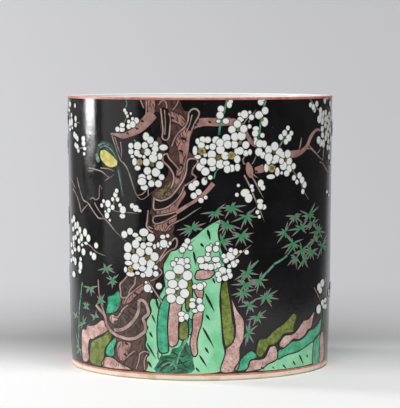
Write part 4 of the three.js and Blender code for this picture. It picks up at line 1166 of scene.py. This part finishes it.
BIRD_BREAST = [
    (-73.2, 145.4), (-72.4, 147.8), (-69.4, 148.6), (-64, 146.2), (-60, 143.4), (-57.6, 141),
    (-58, 138.8), (-62, 137.4), (-66, 137.8), (-70, 140.2), (-72.6, 143),
]
BIRD_BACK = [
    (-77, 146), (-76, 150.6), (-72, 153.8), (-67, 154), (-62, 152), (-59, 148), (-57, 143.6),
    (-58, 141.4), (-61, 144), (-65, 147.2), (-69.6, 149.4), (-73, 148.6), (-74.4, 145), (-75.6, 144),
]
BIRD_HEAD = [(-77.8, 145.4), (-76.4, 146), (-74.6, 144), (-73.6, 141), (-75.4, 139.8), (-77.4, 141.6)]
BIRD_TAIL = [
    (-58.6, 138.4), (-55.4, 137.6), (-54, 130), (-52.6, 119), (-53.6, 118), (-55, 122), (-56.4, 130),
]
WING_LINES = [
    [(-75, 151), (-70, 152.6), (-64, 151.4)], [(-73, 149.8), (-68, 151), (-62, 148.4)],
    [(-64, 149.6), (-60.4, 146.4), (-58.4, 143)], [(-57, 136), (-55.2, 128), (-53.4, 120)],
]


def inside(place, outline):
    """Whether a point lies inside a drawn outline."""
    crossings = 0
    for start_point, end_point in zip(outline, outline[1:] + outline[:1]):
        if (start_point.y > place.y) != (end_point.y > place.y):
            share = (place.y - start_point.y) / (end_point.y - start_point.y)
            if place.x < start_point.x + share * (end_point.x - start_point.x):
                crossings += 1
    return crossings % 2 == 1


def brush_strokes(outline):
    """Dark strokes that follow the grain of the trunk, at seeded places inside an outline."""
    chance = random.Random(BRUSH_SEED)
    area = [Vector(point) for point in outline]
    grain = [Vector(point) for point in TRUNK_GRAIN]
    low = Vector((min(p.x for p in area), min(p.y for p in area)))
    high = Vector((max(p.x for p in area), max(p.y for p in area)))
    strokes = []
    while len(strokes) < BRUSH_STROKES:
        place = Vector((chance.uniform(low.x, high.x), chance.uniform(low.y, high.y)))
        above = min((k for k in range(1, len(grain)) if grain[k].y <= place.y), default=len(grain) - 1)
        way = (grain[above - 1] - grain[above]).normalized()
        sway = chance.uniform(-BRUSH_SWAY, BRUSH_SWAY)
        way = Vector((way.x + sway, way.y)) * chance.uniform(*BRUSH_REACH)
        if inside(place - way, area) and inside(place + way, area):
            strokes.append((place - way, place + way))
    return strokes


# Operators: one for each step of the work
class PieceOperator:
    """What every operator shares: it builds from the scene's sizes and colours."""

    bl_options = {"REGISTER", "UNDO"}

    def execute(self, context):
        self.build(context.scene.vase_sizes, context.scene.vase_colours)
        return {"FINISHED"}


class VASE_OT_clay(PieceOperator, bpy.types.Operator):
    """Turn the clay: the wall, the luted base slab and the bare foot ring"""

    bl_idname = "vase.clay"
    bl_label = "Clay"

    def build(self, sizes, colours):
        w = Wall(sizes)
        finish = bare_biscuit(colours)
        outer = w.side(w.glaze, w.ring_height, w.lip_spring)
        inner = w.side(w.wall, w.ring_height, w.lip_spring)
        profile = outer[:-1] + w.lip(w.glaze, w.wall, w.height - w.glaze) + inner[-2::-1]
        turned("Wall_Clay", profile, True, glazed_porcelain(colours), ["wall"])
        slab = plate(w.radius(w.ring_height) - w.wall - GAP, w.ring_height, w.floor_top - w.glaze)
        turned("Base_Slab", slab, False, finish, ["base_slab"])
        ring = [
            (w.recess + w.chamfer, 0),
            (w.foot - w.chamfer, 0),
            (w.radius(w.chamfer), w.chamfer),
            (w.radius(w.ring_height), w.ring_height),
            (w.recess, w.ring_height),
            (w.recess, w.chamfer),
        ]
        turned("Foot_Ring", ring, True, finish, ["foot_ring"])


class VASE_OT_glazes(PieceOperator, bpy.types.Operator):
    """Glaze the inside, the lip and the recess under the base in white"""

    bl_idname = "vase.glazes"
    bl_label = "White glazes"

    def build(self, sizes, colours):
        w = Wall(sizes)
        finish = glazed_porcelain(colours)
        outer = w.side(w.wall + GAP, w.floor_top, w.lip_spring)
        inner = w.side(w.wall + w.glaze, w.floor_top, w.lip_spring)
        turned("Lining_Glaze", outer + inner[::-1], True, finish, ["lining_glaze"])
        pool = w.radius(w.ring_height) - w.wall - w.glaze - GAP
        floor = plate(pool, w.floor_top - w.glaze, w.floor_top)
        turned("Floor_Glaze", floor, False, finish, ["floor_glaze"])
        under = plate(w.recess - GAP, w.ring_height - w.glaze, w.ring_height)
        turned("Recess_Glaze", under, False, finish, ["recess_glaze"])
        cap = w.lip(0.0, w.wall + w.glaze, w.height)
        seat = w.lip(w.glaze - GAP, w.wall + GAP, w.height - w.glaze + GAP)
        turned("Lip_Glaze", cap + seat[::-1], True, finish, ["lip_glaze"])


class VASE_OT_ground(PieceOperator, bpy.types.Operator):
    """Coat the outside with black enamel between two iron-red lines"""

    bl_idname = "vase.ground"
    bl_label = "Ground and lines"

    def build(self, sizes, colours):
        w = Wall(sizes)
        black = black_ground(colours)
        red = iron_red(colours)
        coats = (
            ("Black_Ground", w.ground_bottom, w.ground_top, black, "black_enamel", "black_ground"),
            ("Foot_Line", w.ring_height, w.ground_bottom, red, "iron_red", "foot_line"),
        )
        for name, low, high, finish, slot, covered in coats:
            outer = w.side(0.0, low, high)
            inner = w.side(w.glaze - GAP, low, high)
            turned(name, outer + inner[::-1], True, finish, [covered])
        edge = w.lip(-MOUTH_LINE_COAT, w.wall, w.height)[:LIP_STEPS]
        low = w.ground_top
        line = w.side(-MOUTH_LINE_COAT, low, w.height - w.rounding, MOUTH_LINE_STEPS)[:-1] + edge
        top_radius, top = edge[-1]
        back = [(top_radius - MOUTH_LINE_IN, top - MOUTH_LINE_DOWN), (w.radius(low) - w.glaze, low)]
        turned("Mouth_Line", line + back, True, red, ["mouth_line"])


class VASE_OT_rocks(PieceOperator, bpy.types.Operator):
    """Lay the garden rocks: pale green, emerald, moss and rose bands with dark drawing"""

    bl_idname = "vase.rocks"
    bl_label = "Rocks"

    def build(self, sizes, colours):
        w = Wall(sizes)
        paints = palette(colours)
        lines = Coat(w)
        washes = (
            ("Rocks_Pale", PALE_ROCKS, LIFT_WASH, "pale_green", "pale_green",
                ["rock_tall_pale", "rock_right_pale", "rock_back_pale"]),
            ("Rocks_Emerald", EMERALD_ROCKS, LIFT_DETAIL, "emerald", "emerald_green",
                ["rock_tall_emerald", "rock_right_emerald", "rock_back_emerald"]),
            ("Rocks_Moss", MOSS_ROCKS, LIFT_DETAIL, "moss", "moss_green",
                ["rock_tall_moss", "rock_left_moss", "rock_right_moss", "rock_back_moss"]),
            ("Rocks_Rose", ROSE_ROCKS, LIFT_DETAIL, "rose", "rose_aubergine",
                ["rock_tall_rose", "rock_inner_rose", "rock_left_rose", "rock_right_rose",
                    "rock_back_rose"]),
        )
        for name, outlines, lift, paint, slot, covered in washes:
            coat = Coat(w)
            for outline in outlines:
                coat.patch(outline, lift)
                lines.ribbon(outline, ROCK_OUTLINE, lift + OUTLINE_RISE, closed=True)
            coat.make(name, paints[paint], slot, covered)
        bush = Coat(w)
        bush.patch(BUSH, LIFT_DETAIL)
        bush.make("Rock_Bush", paints["bush"], "emerald_green")
        for broad, point, wide in STROKES:
            lines.blade(broad, point, wide, LIFT_LINE)
        for line in BUSH_LINES:
            lines.ribbon(line, BUSH_LINE, LIFT_LINE, taper=0.5)
        lines.make("Rock_Drawing", paints["dark_line"], "black_enamel")


class VASE_OT_tree(PieceOperator, bpy.types.Operator):
    """Lay the prunus trunk, its boughs and its twigs"""

    bl_idname = "vase.tree"
    bl_label = "Tree"

    def build(self, sizes, colours):
        w = Wall(sizes)
        paints = palette(colours)
        bark = Coat(w)
        for outline in (TRUNK_UPPER, TRUNK_LOWER):
            bark.patch(outline, LIFT_WASH + BARK_RISE)
        bark.make("Trunk_Bark", paints["aubergine"], "aubergine", ["trunk"])
        faces = Coat(w)
        lines = Coat(w)
        for outline in TRUNK_FACES:
            faces.patch(outline, LIFT_DETAIL)
            lines.ribbon(outline, FACE_OUTLINE, LIFT_DETAIL + OUTLINE_RISE, closed=True)
        faces.make("Trunk_Faces", paints["bark_pink"], "bark_pink")
        olive = Coat(w)
        for outline in TRUNK_OLIVE:
            olive.patch(outline, LIFT_DETAIL)
        olive.make("Trunk_Olive", paints["heartwood"], "moss_green")
        folds = Coat(w)
        for outline in TRUNK_FOLDS:
            folds.patch(outline, LIFT_DETAIL + FOLD_RISE)
        folds.make("Trunk_Folds", paints["fold"], "aubergine")
        for outline in TRUNK_HOLLOWS:
            lines.patch(outline, LIFT_LINE)
        for first, last in HATCHING:
            lines.blade(first, last, HATCH_LINE, LIFT_LINE)
        brushwork = Coat(w)
        for outline in (TRUNK_UPPER, TRUNK_LOWER):
            for first, last in brush_strokes(outline):
                brushwork.blade(first, last, BRUSH_WIDTH, LIFT_DETAIL + BRUSH_RISE)
        brushwork.make("Bark_Brushwork", paints["fold"], "aubergine")
        boughs = Coat(w)
        for path in BOUGHS:
            boughs.ribbon(path, None, LIFT_LINE + BOUGH_RISE)
        boughs.make(
            "Boughs",
            paints["bark_pink"],
            "bark_pink",
            ["bough_left", "bough_right", "bough_far_right", "bough_low", "bough_back", "bough_back_right"],
        )
        edges = Coat(w)
        for wide, path in BARK_EDGES:
            lines.ribbon(path, wide + EDGE_BORDER, LIFT_DETAIL + BORDER_RISE)
            edges.ribbon(path, wide, LIFT_LEAF)
        edges.make("Bark_Edges", paints["edge_pink"], "bark_pink")
        twigs = Coat(w)
        for wide, path in TWIGS:
            twigs.ribbon(path, wide * TWIG_SHARE, LIFT_LEAF, taper=0.35)
        twigs.make("Twigs", paints["twig"], "bark_pink")
        lines.make("Bark_Drawing", paints["dark_line"], "black_enamel")
        ticks = Coat(w)
        for arc, z, long in BARK_TICKS:
            reach = long * TICK_REACH
            ticks.blade((arc - reach, z + TICK_RISE), (arc + reach, z - TICK_FALL), TICK_WIDTH, LIFT_TWIG)
        ticks.make("Bark_Ticks", paints["dark_line"], "black_enamel")


class VASE_OT_bamboo(PieceOperator, bpy.types.Operator):
    """Lay the bamboo: stems, and leaves in stars that thin to grey tips"""

    bl_idname = "vase.bamboo"
    bl_label = "Bamboo"

    def build(self, sizes, colours):
        w = Wall(sizes)
        paints = palette(colours)
        leaves = Coat(w)
        stems = Coat(w)
        chance = random.Random(LEAF_SEED)
        for number, (middle, *tips) in enumerate(BAMBOO):
            for turn, tip in enumerate(tips):
                lift = LIFT_LEAF + LEAF_RISE * ((number + turn) % LEAF_LEVELS)
                leaves.blade(middle, tip, LEAF_WIDTH, lift)
                aside = chance.choice((-1, 1)) * chance.uniform(*SHORT_LEAF_TURN)
                reach = Vector(tip) - Vector(middle)
                reach.rotate(Matrix.Rotation(math.radians(aside), 2))
                short = Vector(middle) + reach * chance.uniform(*SHORT_LEAF_REACH)
                leaves.blade(middle, short, LEAF_WIDTH, lift + SHORT_LEAF_RISE)
        for wide, path in BAMBOO_STEMS:
            stems.ribbon(path, wide, LIFT_LEAF)
        leaves.make("Bamboo_Leaves", leaf_enamel(colours), "emerald_green")
        stems.make("Bamboo_Stems", paints["stem_green"], "emerald_green")


class VASE_OT_bird(PieceOperator, bpy.types.Operator):
    """Lay the bird: yellow breast, dark green back, pale head and long tail"""

    bl_idname = "vase.bird"
    bl_label = "Bird"

    def build(self, sizes, colours):
        w = Wall(sizes)
        paints = palette(colours)
        breast = Coat(w)
        breast.patch(BIRD_BREAST, LIFT_LEAF)
        breast.make("Bird_Breast", paints["yellow"], "bird_yellow", ["bird_breast"])
        tones = (srgb("1f4034"), srgb("142a24"), srgb("35584a"))
        plumage = enamel("Bird_green_enamel", *tones, 4, 1.0, 0.2, 0.18)
        back = Coat(w)
        back.patch(BIRD_BACK, LIFT_DETAIL)
        back.patch(BIRD_TAIL, LIFT_DETAIL)
        back.make("Bird_Back", plumage, "emerald_green")
        tones = (srgb("5b7d70"), srgb("3d5a50"), srgb("93b0a5"))
        pale = enamel("Bird_pale_enamel", *tones, 3, 0.8, 0.0, 0.2)
        head = Coat(w)
        head.patch(BIRD_HEAD, LIFT_LINE)
        for line in WING_LINES:
            head.ribbon(line, QUILL_LINE, LIFT_LINE, taper=0.5)
        head.make("Bird_Head_And_Quills", pale, "pale_green")


class VASE_OT_blossoms(PieceOperator, bpy.types.Operator):
    """Lay the white blossoms and buds on dark rims, with their middles and green stalks"""

    bl_idname = "vase.blossoms"
    bl_label = "Blossoms"

    def build(self, sizes, colours):
        w = Wall(sizes)
        paints = palette(colours)
        finish = petal_enamel(colours)
        rims = Coat(w)
        front = Coat(w)
        for number, (arc, z, across, *up) in enumerate(PETALS_FRONT):
            self.petal(front, rims, number, arc, z, across, up[0] if up else across)
        front.make(
            "Blossoms_Front",
            finish,
            "blossom_white",
            [
                "blossoms_upper_left",
                "blossoms_upper_middle",
                "blossoms_upper_right",
                "blossoms_trunk_left",
                "blossoms_rock_front",
                "blossoms_left_edge",
                "blossoms_right_edge",
            ],
        )
        back = Coat(w)
        middles = [Coat(w), Coat(w), Coat(w)]
        luck = random.Random(BACK_SEED)
        for arc, z, radius in CLUSTERS_BACK:
            turn = luck.uniform(0, 360)
            petal = radius * BACK_PETAL
            for number in range(BACK_PETALS):
                a = math.radians(turn + 360 / BACK_PETALS * number)
                x, y = arc + radius * BACK_SPREAD * math.cos(a), z + radius * BACK_SPREAD * math.sin(a)
                self.petal(back, rims, number, x, y, petal, petal)
            middle = radius * BACK_MIDDLE
            middles[luck.randrange(2)].disc(arc, z, middle, middle, LIFT_MIDDLE)
            bud = radius * BACK_BUD
            reach = radius * BACK_BUD_SPREAD
            for number in range(BACK_BUDS):
                a = luck.uniform(0, 2 * math.pi)
                self.petal(back, rims, number, arc + reach * math.cos(a), z + reach * math.sin(a), bud, bud)
        back.make(
            "Blossoms_Back",
            finish,
            "blossom_white",
            ["blossoms_back_left", "blossoms_back_middle", "blossoms_back_right"],
        )
        rims.make("Petal_Rims", paints["dark_line"], "black_enamel")
        for arc, z, radius, kind in MIDDLES:
            size = radius * MIDDLE_SHARES[kind]
            middles[kind].disc(arc, z, size, size, LIFT_MIDDLE, dome=MIDDLE_DOME)
            if kind == 1:
                middles[0].disc(arc, z, size * HEART_SHARE, size * HEART_SHARE, LIFT_STAMEN)
            reach = radius * STAMEN_REACH
            for ray in range(STAMENS):
                a = 2 * math.pi * ray / STAMENS + arc
                tip = (arc + reach * math.cos(a), z + reach * math.sin(a))
                middles[0].blade((arc, z), tip, STAMEN_WIDTH, LIFT_STAMEN)
        middles[0].make("Middles_Olive", paints["stamen"], "moss_green")
        middles[1].make("Middles_Yellow", paints["cup"], "bird_yellow")
        for wide, path in STALKS:
            middles[2].ribbon(path, wide, LIFT_TWIG)
        middles[2].make("Calyxes_And_Stalks", paints["stem_green"], "emerald_green")

    @staticmethod
    def petal(coat, rims, number, arc, z, across, up):
        """A petal on its dark rim, in one of a few levels so that neighbours lie over each other."""
        level = LIFT_PETAL + PETAL_STEP * (number % PETAL_LEVELS)
        across = across * PETAL_FULLNESS
        up = up * PETAL_FULLNESS
        rims.disc(arc, z, across + PETAL_RIM, up + PETAL_RIM, level, dome=0.0)
        coat.disc(arc, z, across, up, level + PETAL_COAT)


# The stage: a pale sweep of paper, soft lamps and the camera at the photograph's angle
PICTURE_SIZE = (400, 408)
CAMERA_DISTANCE = 1.434
CAMERA_HEIGHT = 0.2069
CAMERA_DROP = 3.92
CAMERA_LENS = 185.6
CAMERA_SENSOR = 36.0
WORLD_STRENGTH = 0.10
SWEEP_START = 0.16
SWEEP_RADIUS = 0.45
SWEEP_STEPS = 12
SWEEP_WIDTH = 1.5
SWEEP_TOP = 1.6
SWEEP_FRONT = -0.62
# Where painted shade on the white paper begins and ends, in metres from the vase's middle: behind it,
# before it, at the bend and to both sides
PAINTED_SHADE_BEHIND = (-0.06, 0.12)
PAINTED_SHADE_BEFORE = (-0.24, -0.50)
PAINTED_SHADE_BEND = (0.14, 0.30)
PAINTED_SHADE_ASIDE = (0.26, 0.42)
# Each lamp's name, width, height, watts, place and the place that it looks at
LAMPS = (
    ("Key_Overhead", 1.6, 1.0, 39, (0.25, -1.1, 1.75), (0, 0, 0.08)),
    ("Strip_Left", 0.24, 0.60, 8.5, (-1.02, 0.30, 0.40), (0, 0, 0.10)),
    ("Panel_Left", 1.0, 1.5, 3.6, (-1.30, -0.42, 0.55), (0, 0, 0.10)),
)


def sweep_material():
    """Paper sweep: white where the vase stands, with painted shade that greys it behind the vase, before
    it, up the bend and to both sides. Its reverse is clear, so that the vase can be seen from behind too."""
    made, tree, shader, place = start("Paper_sweep")
    split = node(tree, "ShaderNodeSeparateXYZ", {"Vector": place})
    # Painted shade: the white paper is painted grey behind the vase, darker grey before it, light grey up
    # the bend and dark grey to both sides, where less light reaches it
    shade_behind = levels(tree, split.outputs["Y"], *PAINTED_SHADE_BEHIND)
    front = levels(tree, split.outputs["Y"], *PAINTED_SHADE_BEFORE)
    rise = levels(tree, split.outputs["Y"], *PAINTED_SHADE_BEND)
    floor = mix(tree, shade_behind, srgb("eeeeee"), srgb("acacac"))
    near = mix(tree, front, floor, srgb("707070"))
    back = mix(tree, rise, near, srgb("c4c4c7"))
    aside = node(tree, "ShaderNodeMath", {0: split.outputs["X"]}, operation="ABSOLUTE").outputs[0]
    back = mix(tree, levels(tree, aside, *PAINTED_SHADE_ASIDE), back, srgb("5c5c5c"))
    fibre = noise(tree, place, 3.0, 3)
    tone = mix(tree, levels(tree, fibre, 0.0, 1.0, 0.0, 0.04), back, srgb("909090"))
    tree.links.new(tone, shader.inputs["Base Color"])
    shader.inputs["Roughness"].default_value = 0.9
    shader.inputs["Specular IOR Level"].default_value = 0.1
    reverse = node(tree, "ShaderNodeNewGeometry").outputs["Backfacing"]
    clear = node(tree, "ShaderNodeBsdfTransparent")
    sides = {0: reverse, 1: shader.outputs["BSDF"], 2: clear.outputs["BSDF"]}
    paper = node(tree, "ShaderNodeMixShader", sides)
    output = next(item for item in tree.nodes if item.bl_idname == "ShaderNodeOutputMaterial")
    tree.links.new(paper.outputs[0], output.inputs["Surface"])
    return made


def lamp(name, width, height, watts, place, target):
    """A soft white panel of light."""
    data = bpy.data.lights.new(name, "AREA")
    data.shape = "RECTANGLE"
    data.size = width
    data.size_y = height
    data.energy = watts
    made = bpy.data.objects.new(name, data)
    made.location = place
    made.rotation_euler = (Vector(target) - Vector(place)).to_track_quat("-Z", "Y").to_euler()
    bpy.context.collection.objects.link(made)


class VASE_OT_stage(PieceOperator, bpy.types.Operator):
    """Set the sweep, the lamps, the world and the camera"""

    bl_idname = "vase.stage"
    bl_label = "Stage"

    def build(self, sizes, colours):
        profile = [(SWEEP_FRONT, 0.0), (0.0, 0.0), (SWEEP_START, 0.0)]
        for i in range(1, SWEEP_STEPS + 1):
            a = math.pi / 2 * i / SWEEP_STEPS
            profile.append((SWEEP_START + SWEEP_RADIUS * math.sin(a), SWEEP_RADIUS * (1 - math.cos(a))))
        profile.append((SWEEP_START + SWEEP_RADIUS, SWEEP_TOP))
        points = [(x, y, z) for y, z in profile for x in (-SWEEP_WIDTH / 2, SWEEP_WIDTH / 2)]
        faces = [(i, i + 1, i + 3, i + 2) for i in range(0, len(points) - 2, 2)]
        mesh = bpy.data.meshes.new("Paper_Sweep")
        mesh.from_pydata(points, [], faces)
        mesh.shade_smooth()
        mesh.materials.append(sweep_material())
        sweep = bpy.data.objects.new("Paper_Sweep", mesh)
        bpy.context.collection.objects.link(sweep)
        for row in LAMPS:
            lamp(*row)
        scene = bpy.context.scene
        world = bpy.data.worlds.new("Studio")
        world.use_nodes = True
        tree = world.node_tree
        tree.nodes.clear()
        glow = node(tree, "ShaderNodeBackground", {"Color": srgb("ffffff"), "Strength": WORLD_STRENGTH})
        node(tree, "ShaderNodeOutputWorld", {"Surface": glow.outputs["Background"]})
        scene.world = world
        view = bpy.data.cameras.new("Camera")
        view.lens = CAMERA_LENS
        view.sensor_width = CAMERA_SENSOR
        camera = bpy.data.objects.new("Camera", view)
        camera.location = (0.0, -CAMERA_DISTANCE, CAMERA_HEIGHT)
        camera.rotation_euler = (math.radians(90 - CAMERA_DROP), 0.0, 0.0)
        bpy.context.collection.objects.link(camera)
        scene.camera = camera
        scene.render.resolution_x, scene.render.resolution_y = PICTURE_SIZE
        scene.view_settings.view_transform = "Standard"


OPERATORS = (
    VASE_OT_clay,
    VASE_OT_glazes,
    VASE_OT_ground,
    VASE_OT_rocks,
    VASE_OT_tree,
    VASE_OT_bamboo,
    VASE_OT_bird,
    VASE_OT_blossoms,
    VASE_OT_stage,
)


class VASE_PT_panel(bpy.types.Panel):
    """Lists the steps that build the vase"""

    bl_idname = "VASE_PT_panel"
    bl_label = "Vase"
    bl_space_type = "VIEW_3D"
    bl_region_type = "UI"
    bl_category = "Vase"

    def draw(self, context):
        for step in OPERATORS:
            self.layout.operator(step.bl_idname)


CLASSES = (VaseSizes, VaseColours, *OPERATORS, VASE_PT_panel)


def register():
    for each in CLASSES:
        bpy.utils.register_class(each)
    bpy.types.Scene.vase_sizes = bpy.props.PointerProperty(type=VaseSizes)
    bpy.types.Scene.vase_colours = bpy.props.PointerProperty(type=VaseColours)


def unregister():
    del bpy.types.Scene.vase_colours
    del bpy.types.Scene.vase_sizes
    for each in reversed(CLASSES):
        bpy.utils.unregister_class(each)


def main():
    """Builds the vase and its stage."""
    register()
    bpy.ops.vase.clay()
    bpy.ops.vase.glazes()
    bpy.ops.vase.ground()
    bpy.ops.vase.rocks()
    bpy.ops.vase.tree()
    bpy.ops.vase.bamboo()
    bpy.ops.vase.bird()
    bpy.ops.vase.blossoms()
    bpy.ops.vase.stage()
    bpy.context.view_layer.update()


if __name__ == "__main__":
    main()
